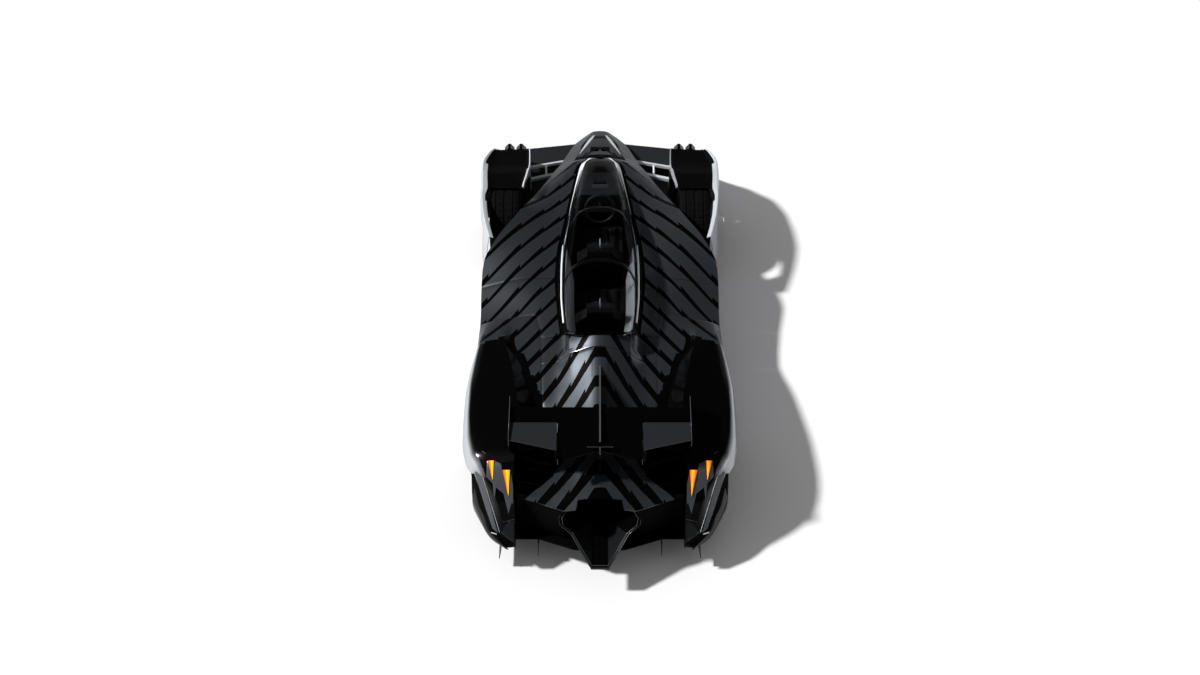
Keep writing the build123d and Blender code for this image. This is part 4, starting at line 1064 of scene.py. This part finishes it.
# %% Lamp material
OUTER_SPIKE, INNER_SPIKE = (0.787, 1.733, -0.07, 1.87), (0.674, 1.806, -0.08, 1.96)  # x, y, slope, tip y
glow, t, shader, place = material("spike_glow")
x, y, z = t.split(place)
across = t.size(x)
outer_line, inner_line = (t.add(x0, t.mul(t.sub(y, y0), slope)) for x0, y0, slope, _ in
                          (OUTER_SPIKE, INNER_SPIKE))
is_outer = t.math("GREATER_THAN", across, 0.735)
centre = t.blend(is_outer, inner_line, outer_line)
width = t.mul(t.sub(t.blend(is_outer, INNER_SPIKE[3], OUTER_SPIKE[3]), y), 0.20)
edge = t.div(t.size(t.sub(across, centre)), t.math("MAXIMUM", width, 0.002))
fire = t.ramp(edge, [(0.0, (1.0, 0.50, 0.01, 1.0)), (0.55, (1.0, 0.20, 0.01, 1.0)),
                     (1.0, (0.60, 0.04, 0.01, 1.0))])
ribs = t.add(0.92, t.mul(t.math("SINE", t.mul(y, 900.0)), 0.08))
ribbed = t.scaled(fire, ribs)
t.put(shader.inputs["Base Color"], ribbed)
t.put(shader.inputs["Emission Color"], ribbed)
shader.inputs["Emission Strength"].default_value = 0.75
shader.inputs["Roughness"].default_value = 0.2


def in_spike(x, y):
    outer = 1.728 < y < 1.851 and 0.769 < x < 0.817
    inner = 1.800 < y < 1.946 and 0.650 < x < 0.709
    return outer or inner


print("lamp material:", len(glow.node_tree.nodes), "nodes")

# %% [markdown]
# ## Duct mouth and end plates
# The big tail duct ends in a slanted mouth with a polished double rim, and the wing's end plates
# carry thin bright edges. A bevel on the solid would be even all round, so beads are run along
# just these edges.

# %% Duct rims and plate edges
DUCT = [(0, 652), (158, 634), (262, 545), (303, 502), (292, 462), (214, 418), (64, 262)]
DUCT_MIDDLE = 440
MOUTH = ((262, 2365), (420, 2163), (660, 1921))  # z and y of the slanted mouth


def mouth_ring(shrink, back):
    """Closed ring round the mouth, drawn in towards its middle."""
    ring = []
    for x, z in DUCT + [(-x, z) for x, z in DUCT[:0:-1]]:
        x, z = x * (1 - shrink), DUCT_MIDDLE + (z - DUCT_MIDDLE) * (1 - shrink)
        ring.append((x * MM, (between(MOUTH, z) - back) * MM, z * MM))
    return ring


tube("duct_rim", [mouth_ring(0.012, 4)], 0.0032, blade_grey, cyclic=True)
tube("duct_inner_rim", [mouth_ring(0.085, 6)], 0.0022, blade_grey, cyclic=True)
PLATE_X = 0.6583
tube("plate_edges", [[(x, 1.294, 0.905), (x, 1.331, 0.976), (x, 1.735, 0.976), (x, 1.735, 0.902)]
                     for x in (-PLATE_X, PLATE_X)], 0.0022, blade_grey)

# %% [markdown]
# ## Joints and fasteners on the cover
# Fine dark joints and a few fasteners show where the covers come off. A joint this fine is
# cheapest as a thin dark bead. The fasteners are low domed hex heads with a dimple.

# %% Joints and fasteners
HEX = [(math.cos(math.radians(60 * k)), math.sin(math.radians(60 * k))) for k in range(6)]


def hex_head(bm, steps, put):
    """Six-sided head from (radius, height) steps; put turns (a, b, height) into a point."""
    shell(bm, [[bm.verts.new(put(r * c, r * s, h)) for c, s in HEX] for r, h in steps], caps=True)


def cover_height(x, y):
    return height_over(bridge(y), x)


slots = [laid([(side * 0.060, 1.00), (side * 0.060, 0.83), (side * 0.045, 0.80)], cover_height, 0.0002, 10)
         for side in (-1, 1)]
tube("slot_joints", slots, 0.0012, shade_and_joint_black)

BOLT = 0.003
BOLT_STEPS = ((BOLT, -0.001), (BOLT, 0.0015), (BOLT * 0.8, 0.003), (BOLT * 0.35, 0.003),
              (BOLT * 0.30, 0.0012))
bm = bmesh.new()
for side in (-1, 1):
    for x, y in ((0.12, 0.80), (0.33, 0.80), (0.12, 1.52), (0.26, 1.52), (0.30, 1.10)):
        x, z = side * x, cover_height(side * x, y) + 0.001
        hex_head(bm, BOLT_STEPS, lambda a, b, h: (x + a, y + b, z + h))
fasteners = finish_mesh("cover_bolts", bm, steel)
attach(fasteners, "car")
print("cover bolts:", len(fasteners.data.polygons), "faces")

# %% [markdown]
# ## Nose highlights and vent shade
# Two slim bright strips widen from the tip of the nose to its shoulders: a painted highlight that stands for
# the light on the nose's bevelled facets. Between them a pair of black plates is painted shade for the dark
# inside two vent openings. They are raised a little from the skin, so that they catch light along their
# edges, and each is drawn once and mirrored.

# %% Nose strips and vents
STRIP_PARTS, STRIP_LIFT = 24, 0.0025
STRIP_TIP, STRIP_RUN = Vector((0.052, -2.27)), Vector((0.125, 0.36))  # x and y
STRIP_END_HALF, STRIP_SWELL = 0.004, 0.010
VENT_X, VENT_Y, VENT_LIFT = (0.026, 0.084), (-2.020, -1.950), 0.0015


def nose_height(x, y):
    return height_over([Vector((0.0, track(BODY, 1, y)))] + [at(BODY, k, y) for k in (2, 4, 6)], x)


bm = bmesh.new()
rows = []
for k in range(STRIP_PARTS + 1):
    s = k / STRIP_PARTS
    x, y = STRIP_TIP + STRIP_RUN * s
    w = STRIP_END_HALF + STRIP_SWELL * math.sin(math.pi * min(1.0, s * 1.1) ** 0.8)
    rows.append([bm.verts.new((x + e * w, y, nose_height(x + e * w, y) + STRIP_LIFT)) for e in (-1, 0, 1)])
sheet(bm, rows)
both_sides(bm)
# Painted highlight: bright strips for the light on the nose's bevelled facets.
panel("nose_highlight_strips", bm, trim_and_highlight_silver, 0.002, 0.0005)

bm = bmesh.new()
sheet(bm, [[bm.verts.new((x, y, nose_height(x, y) + VENT_LIFT)) for x in spread(*VENT_X, 0.015)]
           for y in spread(*VENT_Y, 0.02)])
both_sides(bm)
# Painted shade: black plates for the dark inside the two vent openings.
panel("nose_vent_shade", bm, shade_and_joint_black, 0.001, 0.0003)

# %% [markdown]
# ## Splitter and trays
# A flat black splitter runs under the front wing, and narrow trays close the floor beside the
# deck and ahead of the front wheels, so the ground doesn't show between the parts above. Each
# is a flat outline with a thickness.

# %% Splitter and trays
SPLITTER = [(0.0, -2.275), (0.17, -2.255), (0.72, -2.165), (0.86, -2.12), (0.86, -2.087), (0.60, -2.050),
            (0.56, -1.700), (0.0, -1.700)]
TRAYS = ((0.561, 0.632, 1.097, 1.878), (0.600, 0.984, -1.568, -1.475))  # x and y limits
SPLITTER_TOP, TRAY_TOP = 0.086, 0.090
bm = bmesh.new()
outline = SPLITTER + [(-x, y) for x, y in SPLITTER[-2:0:-1]]
bm.faces.new([bm.verts.new((x, y, SPLITTER_TOP)) for x, y in outline])
panel("splitter_lip", bm, carbon, 0.008, 0.002)

bm = bmesh.new()
for x0, x1, y0, y1 in TRAYS:
    corners = ((x0, y0), (x1, y0), (x1, y1), (x0, y1))
    bm.faces.new([bm.verts.new((x, y, TRAY_TOP)) for x, y in corners])
both_sides(bm)
panel("floor_trays", bm, carbon, 0.006, 0.001)

# %% [markdown]
# ## Canopy highlight strip
# A white strip is a painted highlight: it stands for the bright line of light round the canopy where the
# glass meets its black frame. It is broad at the nose and thins towards the tail. Painted on the glass it
# would flicker between two surfaces, so it is a raised strip that follows the glass, lifted along the
# normal.

# %% Canopy highlight strip
# Painted highlight: white for the bright line of light round the canopy's edge.
brow_highlight_white = painted("brow_highlight_white", (0.86, 0.88, 0.90), 0.35, 0.5, 0.1)
BROW_LIFT = 0.008
BROW_WIDTH = (  # y in metres, width in millimetres
    (-1.80, 26), (-1.70, 40), (-1.55, 40), (-1.42, 32), (-1.30, 22), (-1.15, 15), (-0.95, 10), (-0.70, 9),
    (-0.40, 18), (-0.10, 15), (0.45, 13),
)


def brow_pair(y):
    """Outer and inner point of the strip, laid on the glass so many millimetres across."""
    arch = canopy_arch(y)[::-1]
    shift = -0.004 * min(1.0, max(0.0, (y + 1.3) / 0.4))
    points = []
    for reach in (shift, shift + between(BROW_WIDTH, y) * MM):
        x = arch[0].x - reach
        a, b = next(((a, b) for a, b in zip(arch, arch[1:]) if b.x <= x <= a.x), (arch[0], arch[0]))
        z = a.y + (b.y - a.y) * (a.x - x) / (a.x - b.x) if a.x > b.x else a.y
        points.append(Vector((max(0.0005, x), z)))
    outer, inner = points
    inner.y = min(inner.y, outer.y + 0.9 * (outer.x - inner.x))
    along = (inner - outer).normalized() if (inner - outer).length > 1e-6 else Vector((-1.0, 0.0))
    lift = Vector((along.y, -along.x)) * BROW_LIFT
    return outer + lift, inner + lift


for side in ("left", "right"):
    bm = bmesh.new()
    rows = [[bm.verts.new((p.x, y, p.y)) for p in brow_pair(y)] for y in spread(-1.785, 0.42, 0.02)]
    sheet(bm, rows, flip=True)
    panel(f"canopy_highlight_{side}", bm, brow_highlight_white, 0.0022, 0.0006, body="canopy", mirror=side == "right")

# %% [markdown]
# ## Hoops and wall light strips
# Two dark hoops stiffen the canopy from inside. They rise with it, so they ride on its body. Pale strips on
# the walls of the cabin under the glass are painted light, for the key light that falls on the inner walls
# through the glass; they stay with the car. Both follow the canopy's own sections, drawn in by a small
# margin.

# %% Hoops and cabin wall light strips
HOOPS, HOOP_HALF, HOOP_DROP, HOOP_SHARE = (-0.80, -0.09), 0.018, 0.016, 0.95
bm = bmesh.new()
for centre in HOOPS:
    rows = []
    for y in (centre - HOOP_HALF, centre + HOOP_HALF):
        rows.append([bm.verts.new((p.x * HOOP_SHARE, y + 0.10 * (p.x / 0.3) ** 2, p.y - HOOP_DROP))
                     for p in pane_arch(y)])
    sheet(bm, rows)
panel("canopy_hoops", bm, facet_grey, 0.006, 0.001, body="canopy")

# Painted light: pale strips on the cabin walls, for the key light that falls there through the glass.
sill_light_paint = painted("sill_light_paint", (0.50, 0.52, 0.54), 0.5, 0.3, 0.2)
bm = bmesh.new()
rows = []
for y in spread(-0.55, 0.44, 0.03):
    grow = min(1.0, (y + 0.57) / 0.35)
    base = base_at(y) - Vector((0.030, 0.0))
    low, high = base - Vector((0.070 * grow, 0.045)), base + Vector((0.0, 0.010 + 0.030 * grow))
    rows.append([bm.verts.new((p.x, y, p.y)) for p in (low, low.lerp(high, 0.5), high)])
sheet(bm, rows, flip=True)
both_sides(bm)
panel("cabin_wall_light_strips", bm, sill_light_paint, 0.003, 0.001)

# %% [markdown]
# ## Seat pads
# Two reclined seats sit in line. Each shell carries crowned pads in suede with a sewn channel.
# A pad could be a rounded box, but stuffing swells between its seams. So a crowned form is
# remeshed evenly and blown up by a short cloth run, while its underside stays on the shell.


# %% Pad form
PAD_CELLS = (22, 16)  # along and across


def border(rows):
    """Vertices round the edge of a grid, in order."""
    return (rows[0] + [row[-1] for row in rows[1:]] + rows[-1][-2::-1]
            + [row[0] for row in rows[-2:0:-1]])


def pad_form(name, a, b, half_a, half_b, thick):
    """Closed crowned pad from point a to point b (y, z), its underside on that line."""
    along, across = PAD_CELLS
    axis = (Vector(b) - Vector(a)).normalized()
    rise = Vector((-axis.y, axis.x))
    if rise.y < 0:
        rise = -rise
    bm = bmesh.new()
    top, low = [], []
    for i in range(along + 1):
        v = i / along
        mid = Vector(a).lerp(Vector(b), v)
        half = half_a + (half_b - half_a) * v
        top.append([])
        low.append([])
        for j in range(across + 1):
            u = 2 * j / across - 1
            rim = max(0.0, 1 - abs(u) ** 4) * max(0.0, 1 - abs(2 * v - 1) ** 6)
            channel = 0.35 * math.exp(-((abs(u) - 0.5) / 0.07) ** 2)
            height = thick * (0.35 + 0.65 * rim ** 0.5 * (1 - channel))
            x = u * half * (1 - 0.02 * (1 - rim))
            for row, lift in ((top[-1], height), (low[-1], 0.001)):
                spot = mid + rise * lift
                row.append(bm.verts.new((x, spot.x, spot.y)))
    for i in range(along):
        for j in range(across):
            bm.faces.new((top[i][j], top[i][j + 1], top[i + 1][j + 1], top[i + 1][j]))
            bm.faces.new((low[i][j], low[i + 1][j], low[i + 1][j + 1], low[i][j + 1]))
    rim_top, rim_low = border(top), border(low)
    for k in range(len(rim_top)):
        n = (k + 1) % len(rim_top)
        bm.faces.new((rim_top[n], rim_top[k], rim_low[k], rim_low[n]))
    bmesh.ops.recalc_face_normals(bm, faces=bm.faces)
    return finish_mesh(name, bm, suede), rise


print("pad form:", 2 * PAD_CELLS[0] * PAD_CELLS[1], "cells before the remesh")

# %% [markdown]
# ## Seats
# The cloth run is short and has no gravity, so it gives the same result each time. How far a point may move
# grows from nothing at the underside, and is capped, so no pad leaves its seat. A bright strip over the top
# of each headrest is a painted highlight, for the light caught along the headrest's ridge.


# %% Seats
VOXEL, PRESSURE, CLOTH_STEPS = 0.006, 4.0, 20
HELD, FREE_OVER = 0.004, 0.008  # height that stays put, and over which the pad comes free


def blow_up(obj, rise, floor_point, cap=0.008):
    """Short pressure run on a remeshed copy; the underside stays where it is."""
    remesh = obj.modifiers.new("remesh", "REMESH")
    remesh.mode = "VOXEL"
    remesh.voxel_size = VOXEL
    graph = bpy.context.evaluated_depsgraph_get()
    mesh = bpy.data.meshes.new_from_object(obj.evaluated_get(graph))
    obj.modifiers.clear()
    obj.data = mesh
    before = [v.co.copy() for v in obj.data.vertices]
    cloth = obj.modifiers.new("cloth", "CLOTH")
    cloth.settings.use_pressure = True
    cloth.settings.uniform_pressure_force = PRESSURE
    cloth.settings.effector_weights.gravity = 0.0
    for step in range(1, CLOTH_STEPS + 1):
        bpy.context.scene.frame_set(step)
    graph = bpy.context.evaluated_depsgraph_get()
    blown = obj.evaluated_get(graph).to_mesh()
    after = [v.co.copy() for v in blown.vertices]
    obj.modifiers.clear()
    for vert, old, new in zip(obj.data.vertices, before, after):
        height = (Vector((old.y, old.z)) - Vector(floor_point)).dot(rise)
        move = new - old
        share = min(1.0, max(0.0, height - HELD) / FREE_OVER)
        if move.length > cap:
            move *= cap / move.length
        vert.co = old + move * share
    bpy.context.scene.frame_set(1)
    for face in obj.data.polygons:
        face.use_smooth = True
    fine = obj.modifiers.new("fine", "SUBSURF")
    fine.levels = fine.render_levels = 1
    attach(obj, "car")


SEATS = (  # hip y, back y, top z, half width
    ("front", -0.760, -0.400, 0.800, 0.190),
    ("rear", -0.030, 0.300, 0.840, 0.200),
)
SEAT_FLOOR, PAD_THICK, PAD_IN = 0.1673, 0.026, 0.035
for label, hip, back, top, half in SEATS:
    z = SEAT_FLOOR
    parts = (  # both ends of each pad as (y, z), and its half width at each
        ("cushion", (hip - 0.385, z + 0.119), (hip - 0.045, z + 0.052), half - PAD_IN, half - PAD_IN),
        ("back", (hip - 0.010, z + 0.066), (back - 0.098, top - 0.140), half - PAD_IN, half * 0.55),
        ("head", (back - 0.088, top - 0.118), (back - 0.058, top - 0.028), 0.092, 0.080),
    )
    for kind, a, b, half_a, half_b in parts:
        form, rise = pad_form(f"{kind}_pad_{label}", a, b, half_a, half_b, PAD_THICK)
        blow_up(form, rise, a)
    # Painted highlight: a silver strip along the ridge of the headrest.
    low, high = Vector((back - 0.085, top + 0.003)), Vector((back + 0.004, top - 0.006))
    strip = [low.lerp(high, k / 8) for k in range(9)]
    strip += [high + Vector((-0.006, -0.0135)) * k for k in range(1, 9)]
    tube(f"headrest_highlight_{label}", [[(0.0, p.x, p.y) for p in strip]], 0.006, trim_and_highlight_silver)

# %% [markdown]
# ## Screen and binnacle
# A grey shelf with a small dark screen and a binnacle lies ahead of the wheel. Both are thin
# plates that follow the shelf's slope, read from a short table.

# %% Screen and binnacle
shelf = painted("shelf_grey", (0.020, 0.022, 0.024), 0.5, 0.0, 0.3)
SHELF = ((-1.62, 0.484), (-1.48, 0.536), (-1.30, 0.596), (-1.20, 0.616))  # y, z


def shelf_panel(name, y0, y1, half0, half1, lift, finish):
    bm = bmesh.new()
    rows = []
    for y in spread(y0, y1, 0.02):
        half = half0 + (half1 - half0) * (y - y0) / (y1 - y0)
        rows.append([bm.verts.new((x * half, y, between(SHELF, y) + lift)) for x in (-1, -0.9, 0, 0.9, 1)])
    sheet(bm, rows)
    panel(name, bm, finish, 0.003, 0.001)


shelf_panel("shelf_screen", -1.46, -1.38, 0.055, 0.055, 0.006, gloss_black)
shelf_panel("shelf_binnacle", -1.37, -1.29, 0.065, 0.070, 0.005, smoked_grey)

# %% [markdown]
# ## Tyres
# Wide road tyres. A displaced torus would lose its crisp ribs, so the carcass is a revolved
# profile whose grooves are part of the profile, and slots are cut across the ribs by pulling
# single rows in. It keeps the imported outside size.

# %% Tyres
AROUND, SLOT, GROOVE = 216, 0.005, 0.007
RIBS = {5, 6, 7, 10, 11}  # points of the half profile that a slot pulls in


def tyre_mesh(name, centre, radius, rim_radius, width):
    w = width / 2
    half = [(w - 0.002, rim_radius + 0.001), (w + 0.001, rim_radius + 0.012), (w + 0.003, rim_radius + 0.03),
            (w + 0.003, radius - 0.045), (w - 0.001, radius - 0.026), (w - 0.010, radius - 0.010),
            (w - 0.024, radius - 0.003), (w - 0.046, radius), (w - 0.050, radius - GROOVE),
            (w - 0.058, radius - GROOVE), (w - 0.062, radius), (0.012, radius), (0.008, radius - GROOVE)]
    profile = [(-a, b, k) for k, (a, b) in enumerate(half)]
    profile += [(-a, b, k) for a, b, k in profile[::-1]]
    bm = bmesh.new()
    rings = []
    for step in range(AROUND):
        a = 2 * math.pi * step / AROUND
        ring = []
        for x, r, k in profile:
            if k in RIBS and (step + (2 if k > 8 else 0)) % 6 == 0:
                r -= SLOT
            y, z = centre[1] + r * math.cos(a), centre[2] + r * math.sin(a)
            ring.append(bm.verts.new((centre[0] + x, y, z)))
        rings.append(ring)
    shell(bm, rings + rings[:1])
    bmesh.ops.recalc_face_normals(bm, faces=bm.faces)
    obj = finish_mesh(name, bm, rubber)
    smooth_by_angle(obj, 28)
    print(name, len(obj.data.polygons), "faces")
    return obj


print("slots round a tyre:", AROUND // 6)

# %% [markdown]
# ## Wheels
# Both axles use the same tyre and nuts with their own radius and width.
# Five nuts on a small circle hold each rim. They turn with it, so they ride on the wheel's body,
# as the tyre does.

# %% Wheels
HALF_TRACK = 0.790
NUTS, NUT_CIRCLE = 5, 0.040
NUT_STEPS = ((0.008, -0.003), (0.008, 0.007), (0.006, 0.009), (0.003, 0.009))
WHEELS = (("front", FRONT_WHEEL, 0.238, 0.250), ("rear", REAR_WHEEL, 0.252, 0.300))
for axle, (y, radius), rim_radius, width in WHEELS:
    for side, sign in (("left", 1), ("right", -1)):
        band = tyre_mesh(f"tread_{axle}_{side}", (sign * HALF_TRACK, y, radius), radius, rim_radius, width)
        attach(band, f"wheel_{axle}_{side}")
        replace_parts(band, f"tyre_{axle}_{side}")
        face_x = HALF_TRACK + width / 2 - 0.030
        bm = bmesh.new()
        for i in range(NUTS):
            a = 2 * math.pi * (i + 0.5) / NUTS
            cy, cz = y + NUT_CIRCLE * math.cos(a), radius + NUT_CIRCLE * math.sin(a)
            hex_head(bm, NUT_STEPS, lambda p, q, h: (sign * (face_x + h), cy + p, cz + q))
        bmesh.ops.recalc_face_normals(bm, faces=bm.faces)
        nuts = finish_mesh(f"wheel_nuts_{axle}_{side}", bm, steel)
        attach(nuts, f"wheel_{axle}_{side}")

# %% [markdown]
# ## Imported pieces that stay
# Rims, floor, wings, arms and cabin are crisp solids already. Redrawing them would add nothing, so
# they keep their packed form and get a finish and a small rolled edge.

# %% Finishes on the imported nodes
FINISHES = {
    "tyre": rubber, "rim": rim_metal, "upright": arm_black, "wishbones": arm_black, "floor_pan": carbon,
    "diffuser": shade_and_joint_black, "strakes": carbon, "front_wing": slate_paint, "rear_wing": gloss_black,
    "wing_flaps": slate_paint, "wing_endplates": gloss_black, "fin": blade_grey,
    "tail_duct": gloss_black, "rear_deck": livery_paint, "rear_fascia": shade_and_joint_black,
    "nose_shell": livery_paint, "canopy_frame": gloss_black, "tub": dark_panel,
    "firewall": dark_panel, "seat": suede, "dashboard": dark_panel, "steering_wheel": dark_panel,
    "powertrain": iron, "tail_lamps": gloss_black, "headlamps": gloss_black,
}
for name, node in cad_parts.items():
    finish = next((mat for key, mat in FINISHES.items() if name.startswith(key)), None)
    if finish is None:
        continue
    if not node.material_slots:
        node.data.materials.append(finish)
    for spot in node.material_slots:
        spot.material = finish
    roll_edge(node, 0.0015, 40)
print("finished nodes:", len(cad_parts))

# %% [markdown]
# ## Two finishes on one piece
# Some solids are painted in two tones: the lamps glow only on their spikes, the front wing has a painted
# highlight on its trailing edge, the duct a grey lower lip. Each face is put in one of two finishes by where
# it lies in the car, so no piece has to be split.


# %% Two-tone nodes
def dress_node(name, finishes, is_second):
    """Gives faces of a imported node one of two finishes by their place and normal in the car."""
    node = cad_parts[name]
    place = node.matrix_world.copy()
    turn = place.to_3x3()

    def pick(face):
        return int(is_second(SimpleNamespace(center=place @ face.center, normal=turn @ face.normal)))

    dress(node, finishes, pick)


SPIKE_LIFT = 0.010  # a spike stands this far above the skin
SHELF_FACES_UP, TUB_RIM, TUB_BACK = 0.4, 0.44, -0.70
WING_EDGE_Y, WING_EDGE_X, WING_SWEEP = -2.063, 0.15, 0.2527
DUCT_LIP_Y, DUCT_LIP_Z = 2.10, 0.42
FIN_HALF, FIN_BAR_Y, NOSE_BLACK_Y = 0.012, 1.785, -1.862


def beside_spike(face):
    """The dark lens below and beside the glowing spikes."""
    x, y, z = abs(face.center.x), face.center.y, face.center.z
    return not (in_spike(x, y) and z > haunch_height(x, y) + SPIKE_LIFT)


dress_node("tail_lamps", (glow, gloss_black), beside_spike)
dress_node("dashboard", (shelf, dark_panel), lambda f: f.normal.z <= SHELF_FACES_UP)
# Painted light: the upper inner walls of the cabin are pale, for the key light that falls on them through
# the glass.
dress_node("tub", (dark_panel, wall_light_paint),
           lambda f: f.center.z > TUB_RIM and f.center.y > TUB_BACK and f.normal.x * f.center.x < -0.05)
# Painted highlight: the trailing edge of the front wing is silver, for the light its edges catch.
dress_node("front_wing", (slate_paint, trim_and_highlight_silver),
           lambda f: f.center.y > WING_EDGE_Y + (abs(f.center.x) - WING_EDGE_X) * WING_SWEEP)
dress_node("tail_duct", (gloss_black, facet_grey),
           lambda f: f.center.y > DUCT_LIP_Y and 0.3 < f.normal.z < 0.9 and f.center.z < DUCT_LIP_Z)
dress_node("fin", (blade_grey, gloss_black),
           lambda f: abs(f.center.x) > FIN_HALF or f.center.y > FIN_BAR_Y)
dress_node("nose_shell", (livery_paint, gloss_black), lambda f: f.center.y > NOSE_BLACK_Y)
print("finishes in all:", len(bpy.data.materials))

# %% [markdown]
# ## Floor
# The floor is a plain pale sweep. A white floor also mirrors in every dark panel, which would
# turn black paint grey, so it shows darker to glossy rays than to the eye.

# %% Floor
FLOOR_HALF, FLOOR_PARTS = 40.0, 40
bm = bmesh.new()
bmesh.ops.create_grid(bm, x_segments=FLOOR_PARTS, y_segments=FLOOR_PARTS, size=FLOOR_HALF)
floor_finish, t, shader, place = material("studio_floor")
pale = t.mix(t.noise(place, 0.6, 2.0), (0.80, 0.80, 0.80, 1.0), (0.83, 0.83, 0.83, 1.0))
mirrored = t.node("ShaderNodeLightPath").outputs["Is Glossy Ray"]
t.put(shader.inputs["Base Color"], t.mix(mirrored, pale, (0.42, 0.42, 0.42, 1.0)))
shader.inputs["Roughness"].default_value = 0.9
finish_mesh("studio_floor", bm, floor_finish)
print("floor:", 2 * FLOOR_HALF, "m")

# %% [markdown]
# ## Lights
# A narrow key from the car's left throws the soft shadow to the right, and an even fill opens it
# up. In reflections the horizon is bright and the zenith dark, as under a studio sweep with black
# flags overhead, so the tops stay black and the flanks silver. Big light panels could do the
# same, but a graded world is quicker and free of noise.

# %% Lights
key_data = bpy.data.lights.new("key", "SUN")
key_data.energy = 4.4
key_data.angle = math.radians(4.0)
key = bpy.data.objects.new("key", key_data)
key.rotation_euler = Vector((1.0, 0.0, 1.0)).to_track_quat("Z", "Y").to_euler()
bpy.context.scene.collection.objects.link(key)

world = bpy.data.worlds.new("studio")
bpy.context.scene.world = world
world.use_nodes = True
t = Tree(world.node_tree)
sideways, _, up = t.split(t.node("ShaderNodeTexCoord").outputs["Generated"])
sky = t.ramp(t.math("MAXIMUM", up, 0.0), [(0.0, (0.95, 0.96, 0.98, 1.0)), (0.14, (0.42, 0.43, 0.45, 1.0)),
                                          (0.34, (0.012, 0.012, 0.013, 1.0))])
beside = t.clamp(t.div(t.sub(t.size(sideways), 0.25), 0.45), 0.10)
soft_fill = (0.29, 0.29, 0.295, 1.0)
glossy = t.node("ShaderNodeLightPath").outputs["Is Glossy Ray"]
backdrop = world.node_tree.nodes["Background"]
t.put(backdrop.inputs["Color"], t.mix(glossy, soft_fill, t.scaled(sky, beside)))
backdrop.inputs["Strength"].default_value = 1.0
print("key:", round(key_data.energy, 2), "fill:", soft_fill[0])

# %% [markdown]
# ## Camera
# The car is seen from behind and well above, square to its centre line. A long lens from far off
# keeps its sides nearly parallel.

# %% Camera
ELEVATION, DISTANCE, AIM = math.radians(47.47), 15.0, Vector((0.0, 0.263, 0.45))
camera_data = bpy.data.cameras.new("camera")
camera_data.lens = 57.0
camera_data.sensor_width = 36.0
camera = bpy.data.objects.new("camera", camera_data)
back = Vector((0.0, math.cos(ELEVATION), math.sin(ELEVATION)))
camera.location = AIM + back * DISTANCE
camera.rotation_euler = back.to_track_quat("Z", "Y").to_euler()
bpy.context.scene.collection.objects.link(camera)
bpy.context.scene.camera = camera
bpy.context.scene.view_settings.view_transform = "Standard"
print("camera at", [round(v, 2) for v in camera.location])
